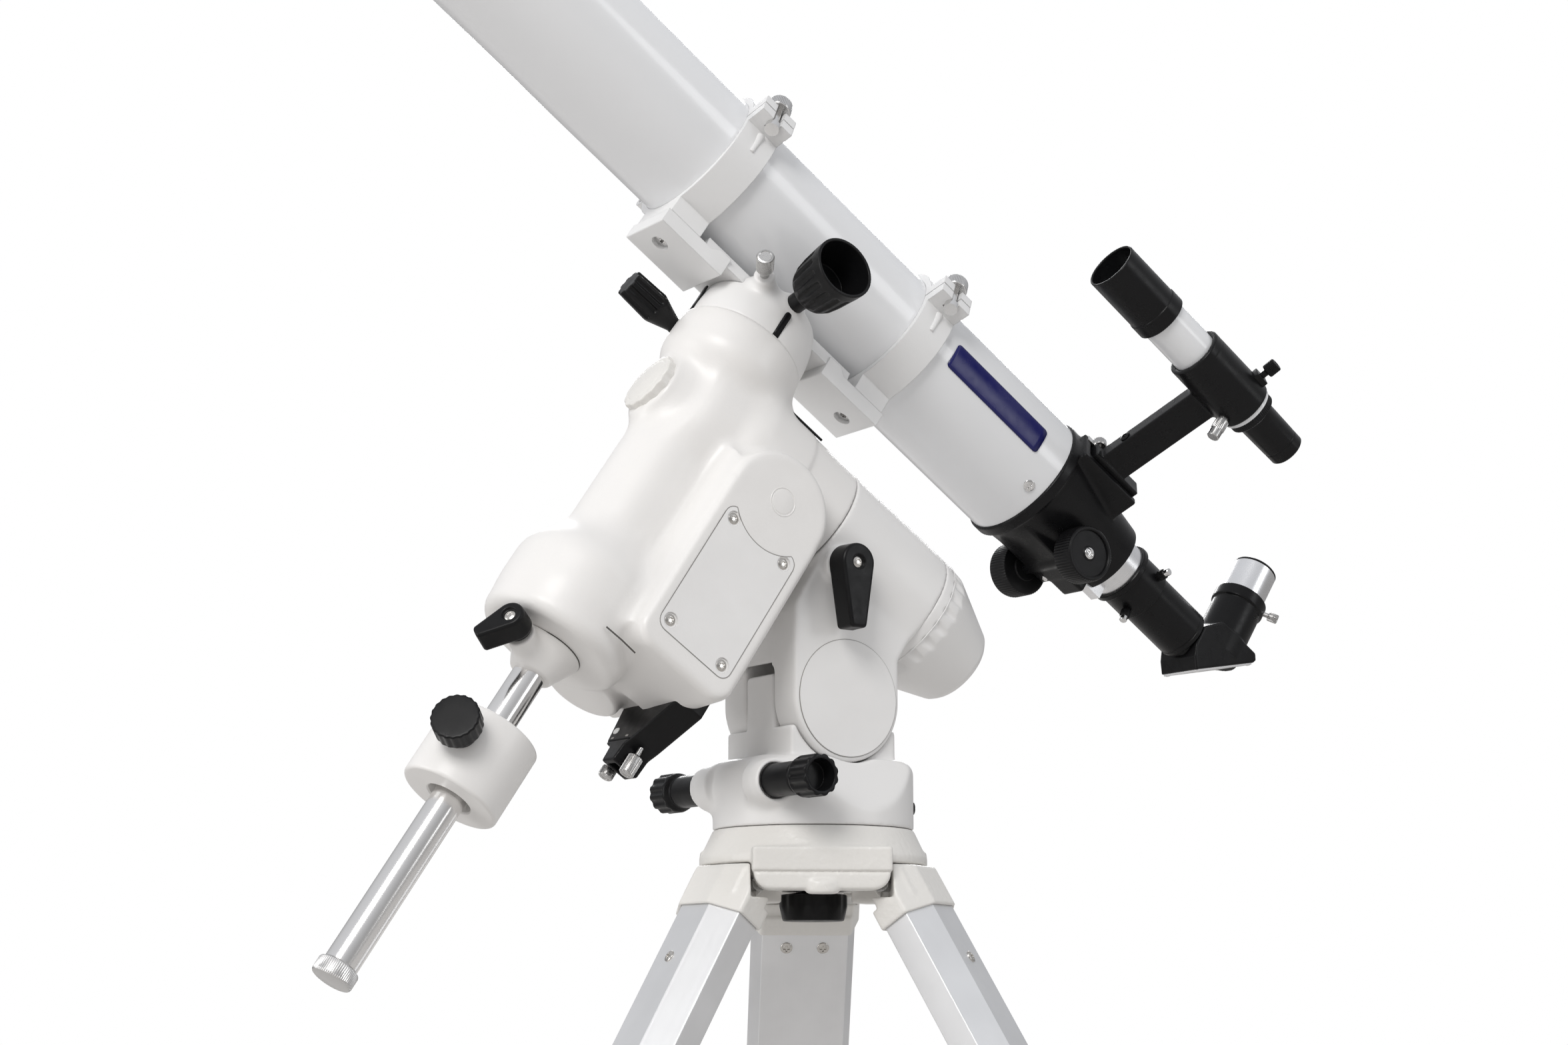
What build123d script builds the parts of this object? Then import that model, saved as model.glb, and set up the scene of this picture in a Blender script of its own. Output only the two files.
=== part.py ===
from build123d import *
import math
import os

os.makedirs("parts", exist_ok=True)

# ---------------------------------------------------------------- driving dimensions (mm, degrees)
SEAM_H = 816.0          # height of the joint between tripod head and azimuth base
LAT = 34.0              # tilt of the polar axis at rest
AXES_X, AXES_Z = -89.5, 246.7   # where polar and declination axes cross, from the seam centre
ALT_X, ALT_Z = -1.5, 78.6       # altitude pivot, from the seam centre
TUBE_T = 144.5          # main tube axis above the axes' crossing
TUBE_R, TUBE_WALL = 45.0, 1.5
TUBE_BACK, TUBE_FRONT = -217.3, 402.0
SHIELD_R, SHIELD_FRONT = 54.0, 535.0
RING_S, RING_W = 83.0, 25.0     # tube ring centres and width
SPLIT = 65.0            # where the rings part, degrees round the tube
FINDER_PSI, FINDER_RHO = 57.0, 146.0
BASE_R = 62.0           # azimuth base
HEAD_RIM_R = 70.0
CHEEK_R, CHEEK_IN, CHEEK_OUT = 39.0, 15.4, 40.0
RA_R, RA_SEAM, RA_BACK = 45.5, -101.0, -185.0
DEC_R, DEC_SEAM = 41.6, 60.0
BAR_R = 10.0
WEIGHT_R, WEIGHT_TOP, WEIGHT_BOTTOM = 30.0, -239.0, -287.0
LEG_SPREAD = 30.0       # leg angle from the vertical
PIVOT_R, PIVOT_Z = 56.0, -34.0  # leg hinge, from the seam centre
LEG_OFF = 4.7           # leg middle plane outside the hinge
LEG_IN_W, LEG_MID_W, LEG_OUT_W = 27.4, 33.6, 15.0   # half widths of the leg section
LEG_MID_D, LEG_D = 18.4, 29.3
LEG_TOP, LEG_END = 21.0, 690.0
LOWER_TOP, LOWER_END = 45.0, 862.0
FOCUS_S, FOCUS_T = -267.0, 108.4
DIAG_S = -421.0

C, S = math.cos(math.radians(LAT)), math.sin(math.radians(LAT))
MID = (Align.CENTER, Align.CENTER, Align.MIN)
# mount frame: x along the polar axis, y towards the front cheek, z along the declination axis
MOUNT = Plane(origin=(AXES_X, 0, SEAM_H + AXES_Z), x_dir=(-C, 0, S), z_dir=(S, 0, C)).location


# ---------------------------------------------------------------- helpers
def rod(p, q, r):
    p, q = Vector(*p), Vector(*q)
    return Plane(origin=p, z_dir=q - p).location * Cylinder(r, (q - p).length, align=MID)


def cone(p, q, r0, r1):
    p, q = Vector(*p), Vector(*q)
    return Plane(origin=p, z_dir=q - p).location * Cone(r0, r1, (q - p).length, align=MID)


def pipe(p, q, ro, ri):
    return rod(p, q, ro) - rod(p, q, ri)


def block(x0, x1, y0, y1, z0, z1):
    return Pos((x0 + x1) / 2, (y0 + y1) / 2, (z0 + z1) / 2) * Box(abs(x1 - x0), abs(y1 - y0), abs(z1 - z0))


def rounded(*pts):
    """A closed outline; a third number on a point rounds that corner."""
    n = len(pts)
    corners = []
    for i, p in enumerate(pts):
        a, b, r = pts[i - 1], pts[(i + 1) % n], (p[2] if len(p) > 2 else 0)
        P = (p[0], p[1])
        if r == 0:
            corners.append((P, None, P))
            continue
        ua = (a[0] - p[0], a[1] - p[1])
        ub = (b[0] - p[0], b[1] - p[1])
        la, lb = math.hypot(*ua), math.hypot(*ub)
        ua, ub = (ua[0] / la, ua[1] / la), (ub[0] / lb, ub[1] / lb)
        ang = math.acos(max(-1, min(1, ua[0] * ub[0] + ua[1] * ub[1])))
        t = r / math.tan(ang / 2)
        h = (ua[0] + ub[0], ua[1] + ub[1])
        lh = math.hypot(*h)
        h = (h[0] / lh, h[1] / lh)
        far = r / math.sin(ang / 2)
        mid = (p[0] + h[0] * (far - r), p[1] + h[1] * (far - r))
        corners.append(((p[0] + ua[0] * t, p[1] + ua[1] * t), mid, (p[0] + ub[0] * t, p[1] + ub[1] * t)))
    edges = []
    for i, c in enumerate(corners):
        nxt = corners[(i + 1) % n]
        if c[1] is not None:
            edges.append(ThreePointArc(c[0], c[1], c[2]))
        if math.dist(c[2], nxt[0]) > 1e-6:
            edges.append(Line(c[2], nxt[0]))
    return make_face(edges)


def turned(*pts):
    """A profile of (radius, height) points turned round Z."""
    return revolve(Plane.XZ * rounded(*pts), Axis.Z)


def along_s(shape, t=0.0):
    """Stands a Z-turned shape along the polar direction, at height t."""
    return Plane(origin=(0, 0, t), x_dir=(0, 0, -1), z_dir=(1, 0, 0)).location * shape


def slab(face, y0, y1):
    """An outline in x and z, given thickness from y0 to y1."""
    return extrude(Plane.XZ.offset(-y1) * face, amount=y1 - y0)


def plan(face, z0, z1):
    return extrude(Plane.XY.offset(z0) * face, amount=z1 - z0)


def scallops(r, h, n, cut, depth, z0=0.0):
    return [Rot(0, 0, i * 360 / n) * Pos(r + cut - depth, 0, z0 - 1) * Cylinder(cut, h + 2, align=MID) for i in range(n)]


def teardrop(r0, r1, d):
    k = (r0 - r1) / d
    c = math.sqrt(1 - k * k)
    body = make_face(Polyline((-r0 * c, -r0 * k), (r0 * c, -r0 * k), (r1 * c, -d - r1 * k), (-r1 * c, -d - r1 * k), close=True))
    return Circle(r0) + Pos(0, -d) * Circle(r1) + body


def save(name, shape):
    export_step(shape, f"parts/{name}.step")


def many(*shapes):
    solids = []
    for s in shapes:
        solids += s.solids()
    return Compound(children=solids)


UP = Pos(0, 0, SEAM_H)   # seam frame to floor frame

# ---------------------------------------------------------------- tripod head
head = turned((0, -22), (HEAD_RIM_R, -22, 1.5), (HEAD_RIM_R, -17, 1.0), (BASE_R, 0), (0, 0))
head += turned((0, -37), (36, -37, 3), (36, -20), (0, -20))
for a in (0, 120, 240):
    face = rounded((-41.5, -28), (41.5, -28), (41.5, -13), (-41.5, -13))
    apron = rounded((-41, -27), (-38, -38.8, 9), (38, -38.8, 9), (41, -27))
    side = slab(face, -62, -44) + slab(apron, -61.5, -46)
    side += Pos(0, -57, -41) * (Rot(0, 0, 0) * extrude(Ellipse(10, 7.5), amount=7))
    side += block(-20, 20, -56, -20, -36, -20)
    head += Rot(0, 0, a + 90) * side
for a in (60, 180, 300):
    tongue = block(30, PIVOT_R, -10.5, 10.5, PIVOT_Z - 11, -20) + rod((PIVOT_R, -10.5, PIVOT_Z), (PIVOT_R, 10.5, PIVOT_Z), 11)
    head += Rot(0, 0, a) * tongue
head -= rod((0, 0, -60), (0, 0, 5), 5.4)
for a in (60, 180, 300):
    head -= Rot(0, 0, a) * rod((PIVOT_R, -25.5, PIVOT_Z), (PIVOT_R, 25.5, PIVOT_Z), 5.0)


def leg_frame(a):
    r, sp = math.radians(a), math.radians(LEG_SPREAD)
    d = (math.cos(r), math.sin(r))
    return Plane(
        origin=(PIVOT_R * d[0], PIVOT_R * d[1], SEAM_H + PIVOT_Z),
        x_dir=(-d[1], d[0], 0),
        z_dir=(-math.sin(sp) * d[0], -math.sin(sp) * d[1], math.cos(sp)),
    ).location


# in the leg frame x runs across, z up along the leg; outward is +y or -y, found once here
probe = leg_frame(0) * Pos(0, 10, 0)
OUT = 1.0 if Vector(*probe.position).X > PIVOT_R else -1.0


def leg_outline(grow, dz=0.0):
    """Six-sided leg section, grown outwards all round."""
    g = grow
    y0, y1, y2 = LEG_OFF - LEG_D / 2 - g, LEG_OFF - LEG_D / 2 + LEG_MID_D, LEG_OFF + LEG_D / 2 + g
    pts = [(-LEG_IN_W - g * 0.8, y0), (LEG_IN_W + g * 0.8, y0), (LEG_MID_W + g * 1.05, y1), (LEG_OUT_W + g * 0.45, y2), (-LEG_OUT_W - g * 0.45, y2), (-LEG_MID_W - g * 1.05, y1)]
    return rounded(*[(x, OUT * y, 0.8) for x, y in pts])


def leg_bar(grow, top, end):
    return plan(leg_outline(grow), -end, -top)


floor_cut = block(-900, 900, -900, 900, -60, 0)
legs = {"n": 180, "ne": 60, "se": 300}
for tag, a in legs.items():
    F = leg_frame(a)
    # top casting: a sleeve over the leg with two ears on the hinge pin
    cast = leg_bar(2.2, -4.0, 26.0)
    cast -= block(-40, 40, OUT * -30, OUT * -7.5, -13, 14)
    for k in (-1, 1):
        ear = block(k * 11.3, k * 25, OUT * -9, OUT * 16, -16, 2) + rod((k * 11.3, 0, 0), (k * 25, 0, 0), 10.0)
        cast += ear
    cast -= block(-11.2, 11.2, OUT * -20, OUT * 14.0, -14, 20)
    cast -= rod((-40, 0, 0), (40, 0, 0), 5.0)
    cast -= leg_bar(0.05, LEG_TOP - 0.05, 60)
    cast = F * cast
    # clear of the head at rest and while folding
    cast -= UP * turned((0, -22.6), (90, -22.6), (90, 12), (0, 12))
    for b in (0, 120, 240):
        cast -= UP * (Rot(0, 0, b + 90) * slab(rounded((-42, -42), (42, -42), (42, -10), (-42, -10)), -63, -36))
    cast = cast.solids().sort_by(SortBy.VOLUME)[-1]
    save(f"leg_casting_{tag}", cast)
    upper = F * (leg_bar(0, LEG_TOP, LEG_END) - leg_bar(-2.0, LEG_TOP - 5, LEG_END + 5))
    save(f"leg_upper_{tag}", upper)
    collar = leg_bar(3.5, 628, 704) - leg_bar(0.05, 600, LEG_END + 0.05) - leg_bar(-2.3, 600, 720)
    collar += rod((0, OUT * (LEG_OFF + LEG_D / 2 + 2), -666), (0, OUT * (LEG_OFF + LEG_D / 2 + 13), -666), 11)
    collar -= rod((0, OUT * (LEG_OFF + LEG_D / 2 + 1.5), -666), (0, OUT * (LEG_OFF + LEG_D / 2 + 20), -666), 4.1)
    save(f"leg_collar_{tag}", F * collar)
    knob = Cylinder(17, 13, align=MID) - scallops(17, 13, 9, 4.5, 1.6)
    knob = Pos(0, 0, 13.6) * knob + Pos(0, 0, 2.5) * Cylinder(4, 11.3, align=MID)
    lock = Plane(origin=(0, OUT * (LEG_OFF + LEG_D / 2), -666), z_dir=(0, OUT, 0)).location * knob
    save(f"leg_lock_{tag}", F * lock)
    lower = F * (leg_bar(-3.0, LOWER_TOP, LOWER_END) - leg_bar(-5.0, LOWER_TOP - 5, LOWER_END - 3))
    save(f"leg_lower_{tag}", lower)
    shoe = leg_bar(-1.0, 840, 872) - leg_bar(-2.95, 830, LOWER_END + 0.05)
    shoe += cone((0, OUT * LEG_OFF, -871), (0, OUT * LEG_OFF, -925), 17, 12)
    save(f"foot_{tag}", F * shoe - floor_cut)

save("tripod_head", UP * head)
pins = [Rot(0, 0, a) * rod((PIVOT_R, -24.5, PIVOT_Z), (PIVOT_R, 24.5, PIVOT_Z), 4.95) for a in legs.values()]
save("leg_hinge_pins", UP * many(*pins))
grip = turned((0, -55), (19, -55, 2.5), (21, -46, 3), (21, -39, 3), (8, -37.4), (0, -37.4)) - scallops(21, 20, 12, 6, 0.9, -56)
bolt = rod((0, 0, -37.4), (0, 0, 24), 5.0)
save("head_knob", UP * (grip + bolt))

# ---------------------------------------------------------------- azimuth base
base = turned((0, 0.3), (BASE_R, 0.3, 0.8), (BASE_R, 42, 9), (0, 42))
for k in (-1, 1):
    base += cone((-44, k * 14, 26), (-54, k * 37, 26), 21, 13)
    base += rod((-54, k * 20, 26), (-54, k * 38, 26), 13)
platform = plan(rounded((-40.5, -36, 1.5), (37.5, -36, 1.5), (37.5, 36, 1.5), (-40.5, 36, 1.5)), 40, 61)
base += platform
base += slab(rounded((-40.5, 40), (37.5, 40), (37.5, 94, 3), (-40.5, 94, 3)), -CHEEK_IN + 0.6, CHEEK_IN - 0.6)
for k in (-1, 1):
    swing = rod((ALT_X, k * (CHEEK_IN - 0.6), ALT_Z), (ALT_X, k * 70, ALT_Z), CHEEK_R + 0.8)
    base -= swing
    scoop = slab(rounded((-80, 10.5), (80, 10.5), (80, 90), (-80, 90)), 0, 60)
    tilt = Plane(origin=(0, k * 62.5, 9.0), x_dir=(1, 0, 0), z_dir=(0, k * 32, 17)).location * Pos(ALT_X + 6, 0, 30) * Box(84, 90, 60)
    base -= tilt - block(-200, 200, -CHEEK_OUT - 2.5, CHEEK_OUT + 2.5, -100, 200)
    base -= rod((-54, k * 38, 26), (-54, k * 60, 26), 18)
    base -= rod((-54, k * 18, 26), (-54, k * 45, 26), 6.3)
base -= rod((ALT_X, -40, ALT_Z), (ALT_X, 40, ALT_Z), 8.06)
base -= rod((0, 0, -5), (0, 0, 28), 5.4)
save("az_base", UP * base)


def az_knob(k):
    stem = turned((0, 0), (6, 0), (6, 18), (10.2, 18, 1), (10.2, 46, 1), (0, 46))
    cup = turned((0, 44), (10.5, 44, 1), (12.6, 48, 1.5), (12.6, 66, 1.2), (9.4, 66, 0.8), (9.4, 58), (0, 58))
    cup -= scallops(12.6, 16, 14, 2.2, 0.9, 50)
    return Plane(origin=(-54, k * 20.5, 26), z_dir=(0, k, 0)).location * (stem + cup)


save("az_knob_front", UP * az_knob(-1))
save("az_knob_rear", UP * az_knob(1))

# ---------------------------------------------------------------- fixed polar housing with its two cheeks
def at(s, t):
    """x and z in the seam frame of a point given along the two axes."""
    return (AXES_X - s * C + t * S, AXES_Z + s * S + t * C)


cheek_face = rounded(
    (ALT_X - CHEEK_R, ALT_Z), (ALT_X - CHEEK_R, 133.0, 16), at(RA_SEAM - 1.0, -4), at(RA_BACK + 1.0, -4), (ALT_X + CHEEK_R, 104.0, 4), (ALT_X + CHEEK_R, ALT_Z),
)
BARREL = along_s(turned((0, RA_BACK), (RA_R, RA_BACK), (RA_R, RA_SEAM - 0.25), (0, RA_SEAM - 0.25)))
housing = MOUNT * BARREL
for k in (-1, 1):
    y0, y1 = sorted((k * CHEEK_IN, k * CHEEK_OUT))
    cheek = slab(cheek_face, y0, y1) + rod((ALT_X, y0, ALT_Z), (ALT_X, y1, ALT_Z), CHEEK_R)
    cheek = fillet(cheek.edges().group_by(Axis.Y)[-1 if k > 0 else 0], 2.5)
    cheek -= rod((ALT_X, k * (CHEEK_OUT - 2.0), ALT_Z), (ALT_X, k * 60, ALT_Z), 36.15)
    housing += UP * cheek
# the bridge between the cheeks swings clear of the base
housing += UP * (slab(cheek_face, -CHEEK_IN - 1, CHEEK_IN + 1) - rod((ALT_X, -60, ALT_Z), (ALT_X, 60, ALT_Z), 43.5))
housing += MOUNT * rod((-115.4, 25, -28), (-115.4, 46, -28), 11.5)
housing -= MOUNT * rod((RA_BACK + 5, 0, 0), (RA_SEAM - 9, 0, 0), 38.0)
housing -= MOUNT * rod((RA_BACK - 5, 0, 0), (RA_SEAM + 5, 0, 0), 17.06)
housing -= MOUNT * rod((-115.4, 39, -28), (-115.4, 50, -28), 5.1)
housing -= UP * rod((ALT_X, -60, ALT_Z), (ALT_X, 60, ALT_Z), 8.05)
save("ra_housing", housing)
covers = [rod((ALT_X, k * (CHEEK_OUT - 1.95), ALT_Z), (ALT_X, k * (CHEEK_OUT + 0.6), ALT_Z), 35.9) for k in (-1, 1)]
save("alt_covers", UP * many(*covers))
save("alt_pin", UP * rod((ALT_X, -37.5, ALT_Z), (ALT_X, 37.5, ALT_Z), 8.0))

cover = turned((0, -246.5), (24, -246.5, 7), (29, -241, 6), (44.6, -201, 5), (45.2, -186.5, 0.8), (45.2, -185.2), (41, -185.2), (41, -199), (25, -239), (21, -242.5), (0, -242.5))
cover -= [Rot(0, 0, i * 15) * Pos(47.0, 0, -204) * Rot(0, -10, 0) * Cylinder(3.0, 15, align=MID) for i in range(24)]
save("rear_cover", MOUNT * along_s(cover))

lever = extrude(teardrop(12.5, 6.5, 37), amount=15.5)
lever = fillet(lever.edges().group_by(Axis.Z)[-1], 1.8)
lever += Pos(0, 0, -1.7) * Cylinder(10.5, 2.2, align=MID) + Pos(0, 0, -7.2) * Cylinder(5, 8, align=MID)
# the grip hangs straight down
save("ra_lever", MOUNT * (Plane(origin=(-115.4, 48.1, -28), x_dir=(-C, 0, S), z_dir=(0, 1, 0)).location * lever))

# ---------------------------------------------------------------- turning polar body: barrel, column, drum, drive box
column = turned((0, -178), (37, -178, 6), (45.5, -169, 6), (45.5, -126, 12), (31.5, -106, 12), (31.5, 21, 8), (DEC_R, 36, 8), (DEC_R, DEC_SEAM - 0.3, 0.6), (0, DEC_SEAM - 0.3))
barrel = along_s(turned((0, RA_SEAM + 0.25), (RA_R, RA_SEAM + 0.25), (RA_R, -26, 14), (33, 12, 8), (0, 12)))
boss = along_s(turned((0, 0), (27, 0), (20.6, 30), (20.6, 34, 0.8), (0, 34)))
drive = slab(rounded((-4, -165, 15), (-92, -165, 15), (-92, -9.0, 43.8), (-4, -9.0, 43.8)), 0, 59)
drive = fillet(drive.edges().group_by(Axis.Y)[-1], 5.0)
pod = rod((-47, -36, -170), (-47, -36, -70), 25) + cone((-47, -36, -70.1), (-47, -26, -35), 25, 12)
web = slab(rounded((-2, -160, 10), (-78, -160, 10), (-70, -20, 10), (0, -20, 10)), -34, 20)
dec = column + barrel + boss + drive + pod + web
dec -= rod((0, 0, -152), (0, 0, 70), 16.06)
dec -= rod((0, 0, -118), (0, 0, 28), 21.0)
dec -= rod((0, 0, -200), (0, 0, -140), 11.0)
dec -= rod((RA_SEAM - 5, 0, 0), (-40, 0, 0), 17.03)
dec -= rod((RA_SEAM - 5, 0, 0), (-84, 0, 0), 36.0)
# room behind the cover, and the recess the cover sits in
plate = rounded((-25.5, -147, 7), (-83.0, -147, 7), (-83.0, -54.5, 7), (-25.5, -54.5, 7)) - Pos(-54, -31) * Circle(33)
window = rounded((-37, -144, 3), (-72, -144, 3), (-72, -70, 3), (-37, -70, 3))
dec -= slab(plate, 56.8, 62)
dec -= slab(window, 40, 62)
dec -= block(-84, -26, 22, 52, -152, -66)
dec -= slab(Pos(-54, -31) * (Circle(8.9) - Circle(8.1)), 58.4, 60)
dec -= rod((24, -15, 51.0), (45, -15, 51.0), 5.15)
dec -= rod((14, 0, 0), (40, 0, 0), 13.05)
save("dec_housing", MOUNT * dec)

lid = slab(plate, 56.85, 58.6)
for s in (-33.0, -75.5):
    for t in (-62.0, -139.5):
        lid -= rod((s, 57.6, t), (s, 60, t), 4.6)
save("motor_cover", MOUNT * lid)
motors = [rod((-45, 37, -146), (-45, 37, -92), 13), rod((-68, 37, -120), (-68, 37, -72), 9.5)]
save("drive_motors", MOUNT * many(*motors))

shaft = rod((-183, 0, 0), (-60, 0, 0), 17.0) + rod((-99.5, 0, 0), (-84.3, 0, 0), 35.9) + rod((-152, 0, 0), (-138, 0, 0), 36.0) - rod((-190, 0, 0), (-50, 0, 0), 12.5)
save("ra_shaft", MOUNT * shaft)

cap = turned((0, 34.3), (19.6, 34.3), (20.3, 37, 0.8), (19.6, 40.5, 2.2), (0, 42)) - scallops(20.3, 8, 14, 2.4, 0.7, 33)
cap += turned((0, 20), (13.0, 20), (13.0, 35), (0, 35))
save("polar_cap", MOUNT * along_s(cap))

module_face = rounded((2.5, -165.3), (2.5, -186, 3), (-6, -201.5, 0.8), (-20, -201.5, 0.8), (-21, -190), (-28, -188), (-34, -165.3))
module = extrude(Plane.YZ.offset(-95) * module_face, amount=20)
module += block(-88, -73.5, -34, 45, -168.3, -165.3)
module -= block(-91, -79, -17, -9, -205, -196)
save("wireless_module", MOUNT * module)

knob = turned((0, 0), (5, 0), (5, 19), (10.4, 32, 1.5), (9.6, 56, 1.5), (0, 56)) - scallops(10.6, 40, 9, 2.0, 0.9, 34)
save("dec_clamp_knob", MOUNT * (Plane(origin=(25, -15, 51.0), z_dir=(1, 0, 0)).location * knob))

# ---------------------------------------------------------------- counterweight bar and its clamp
BA = math.radians(33)
B3 = (math.cos(BA), math.sin(BA))
collar = turned((0, -197.5), (13.4, -197.5, 1.2), (22.5, -178.2), (0, -178.2))
collar += rod((2 * B3[0], 2 * B3[1], -188.5), (29 * B3[0], 29 * B3[1], -188.5), 8.6)
collar -= rod((0, 0, -210), (0, 0, -170), 10.15)
collar -= rod((11 * B3[0], 11 * B3[1], -188.5), (40 * B3[0], 40 * B3[1], -188.5), 4.1)
save("bar_collar", MOUNT * collar)
grip = extrude(teardrop(9.2, 5.0, 19.5), amount=15)
grip = fillet(grip.edges().group_by(Axis.Z)[-1], 1.8)
grip = Rot(0, 0, -38) * grip
grip += Pos(0, 0, -3.4) * Cylinder(8.0, 4, align=MID) + Pos(0, 0, -17) * Cylinder(4, 18, align=MID)
save("bar_lever", MOUNT * (Plane(origin=(33 * B3[0], 33 * B3[1], -188.5), x_dir=(-B3[1], B3[0], 0), z_dir=(B3[0], B3[1], 0)).location * grip))
save("cw_bar", MOUNT * rod((0, 0, -399), (0, 0, -104), BAR_R))
end = turned((0, -409), (12.4, -409, 1.2), (12.4, -399.3, 0.6), (0, -399.3))
save("bar_end_cap", MOUNT * end)
weight = turned((10.2, WEIGHT_BOTTOM + 9), (13.8, WEIGHT_BOTTOM + 9), (13.8, WEIGHT_BOTTOM), (WEIGHT_R, WEIGHT_BOTTOM, 2.5), (WEIGHT_R, WEIGHT_TOP, 2.5), (13.8, WEIGHT_TOP), (13.8, WEIGHT_TOP - 9), (10.2, WEIGHT_TOP - 9))
KA = math.radians(44)
K3 = (math.cos(KA), math.sin(KA))
KT = -260.0
weight -= rod((8 * K3[0], 8 * K3[1], KT), (60 * K3[0], 60 * K3[1], KT), 4.1)
save("counterweight", MOUNT * weight)
knob = turned((0, 12), (4, 12), (4, 31), (9, 31), (10, 34), (14.2, 38, 1.5), (14.2, 50.5, 2.5), (0, 52.5)) - scallops(14.2, 20, 14, 2.4, 0.8, 37)
save("cw_knob", MOUNT * (Plane(origin=(0, 0, KT), z_dir=(K3[0], K3[1], 0)).location * knob))

# ---------------------------------------------------------------- saddle with its shaft, clamp knob, safety screw
saddle = turned((0, DEC_SEAM + 0.3), (DEC_R, DEC_SEAM + 0.3, 0.6), (DEC_R, 78, 6), (36, 92, 8), (30, 96, 4), (0, 96))
saddle += cone((0, 20, 87), (0.2, 36.5, 90.8), 10, 7)
saddle += rod((12, 16, 91.5), (27, 36, 91.5), 6.5)
bar_face = rounded((-18.5, 98), (18.5, 98), (21.6, 85.6), (-21.6, 85.6))
saddle -= extrude(Plane.YZ.offset(-60) * bar_face, amount=120)
saddle -= block(-60, 60, -60, 60, 96.2, 120)
saddle += rod((0, 0, -150), (0, 0, DEC_SEAM + 2), 16.0)
saddle -= rod((0, 0, -160), (0, 0, 50), 11.0)
KD = Vector(0.085, 0.973, 0.216).normalized()
KP = Vector(0, 35, 90.5)
k0, k1 = KP - KD * 16, KP + KD * 20
saddle -= rod((k0.X, k0.Y, k0.Z), (k1.X, k1.Y, k1.Z), 4.6)
SD = Vector(0.6, 0.8, 0)
SP = Vector(25, 33.3, 91.5)
s0, s1 = SP - SD * 20, SP + SD * 20
saddle -= rod((s0.X, s0.Y, s0.Z), (s1.X, s1.Y, s1.Z), 2.6)
save("saddle", MOUNT * saddle.solids().sort_by(SortBy.VOLUME)[-1])

half = rounded((-18.2, 95), (18.2, 95), (21.2, 85.9), (-21.2, 85.9))
dove = extrude(Plane.YZ.offset(-64) * half, amount=128)
for k in (-1, 1):
    pad = slab(rounded((k * 45.5, 78, 1), (k * 97, 78, 1), (k * 97, 87.9), (k * 60, 87.9), (k * 55, 92), (k * 45.5, 92)), -21.6, 21.6)
    dove += pad
    dove -= rod((k * RING_S, 0, 70), (k * RING_S, 0, 86), 5.6)
dove -= block(69, 98, -30, 30, 87.9, 100) + block(-98, -69, -30, 30, 87.9, 100)
screws = [rod((k * RING_S, 0, 80.5), (k * RING_S, 0, 86), 4.4) - Pos(k * RING_S, 0, 79) * extrude(RegularPolygon(2.6, 6), amount=5) for k in (-1, 1)]
save("dovetail_plate", MOUNT * dove)

cupknob = turned((0, -14), (4.4, -14), (4.4, 3), (6.3, 3), (6.3, 9, 1), (12, 13.5, 2), (17.2, 21, 3), (20.4, 54, 0.8), (18.6, 54, 0.6), (15.6, 30), (0, 29))
save("saddle_knob", MOUNT * (Plane(origin=KP, z_dir=KD).location * cupknob))
safe = turned((0, -12), (2.5, -12), (2.5, 9.6), (5.6, 9.6, 0.6), (5.6, 23, 1.0), (0, 23))
save("safety_screw", MOUNT * (Plane(origin=SP, z_dir=SD).location * safe))

# ---------------------------------------------------------------- tube rings; ring frame: x along the tube, y to the split, z across it
sp = math.radians(SPLIT)
RING = MOUNT * Plane(origin=(0, 0, TUBE_T), x_dir=(1, 0, 0), z_dir=(0, -math.cos(sp), math.sin(sp))).location
RING_BACK = RING.inverse() * MOUNT
rings, bolts = [], []
for k in (-1, 1):
    x0, x1, xc = k * RING_S - RING_W / 2, k * RING_S + RING_W / 2, k * RING_S
    hoop = rod((x0, 0, 0), (x1, 0, 0), TUBE_R + 4.5)
    foot = RING_BACK * slab(rounded((x0, 88, 0.5), (x1, 88, 0.5), (x1, 108), (x0, 108)), -21.5, 21.5)
    hoop += foot
    hoop -= rod((x0 - 5, 0, 0), (x1 + 5, 0, 0), TUBE_R + 0.03)
    low = hoop - block(x0 - 5, x1 + 5, -80, 80, -0.5, 90)
    high = hoop - block(x0 - 5, x1 + 5, -80, 80, -90, 0.5)
    low += block(x0, x1, 46.5, 62, -8, -0.5)
    high += block(x0, x1, 46.5, 62, 0.5, 8)
    slot = block(xc - 3.4, xc + 3.4, 53.5, 70, -12, 12)
    low, high = low - slot, high - slot
    pin = rod((x0 + 0.5, -51.5, 0), (x1 - 0.5, -51.5, 0), 2.5)
    kl, kh = rod((x0, -51.5, 0), (xc - 0.5, -51.5, 0), 5.2), rod((xc + 0.5, -51.5, 0), (x1, -51.5, 0), 5.2)
    low = low - rod((xc + 0.2, -51.5, 0), (x1 + 1, -51.5, 0), 5.5) + kl - rod((x0 - 1, -51.5, 0), (x1 + 1, -51.5, 0), 2.55)
    high = high - rod((x0 - 1, -51.5, 0), (xc - 0.2, -51.5, 0), 5.5) + kh - rod((x0 - 1, -51.5, 0), (x1 + 1, -51.5, 0), 2.55)
    hole = rod((x0 - 5, 0, 0), (x1 + 5, 0, 0), TUBE_R + 0.03)
    rings += [low - hole, high - hole]
    stud = rod((xc, 58, -8.1), (xc, 58, 20), 2.6) + rod((xc, 58, -13), (xc, 58, -8.1), 4.6)
    nut = Pos(xc, 58, 0) * (turned((0, 8.1), (7.6, 8.1, 0.6), (7.6, 17.5, 0.8), (0, 17.5)))
    bolts += [stud + nut, pin]
save("tube_rings", RING * many(*rings))
save("ring_bolts", many(*[RING * b for b in bolts], *[MOUNT * s for s in screws]))

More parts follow.
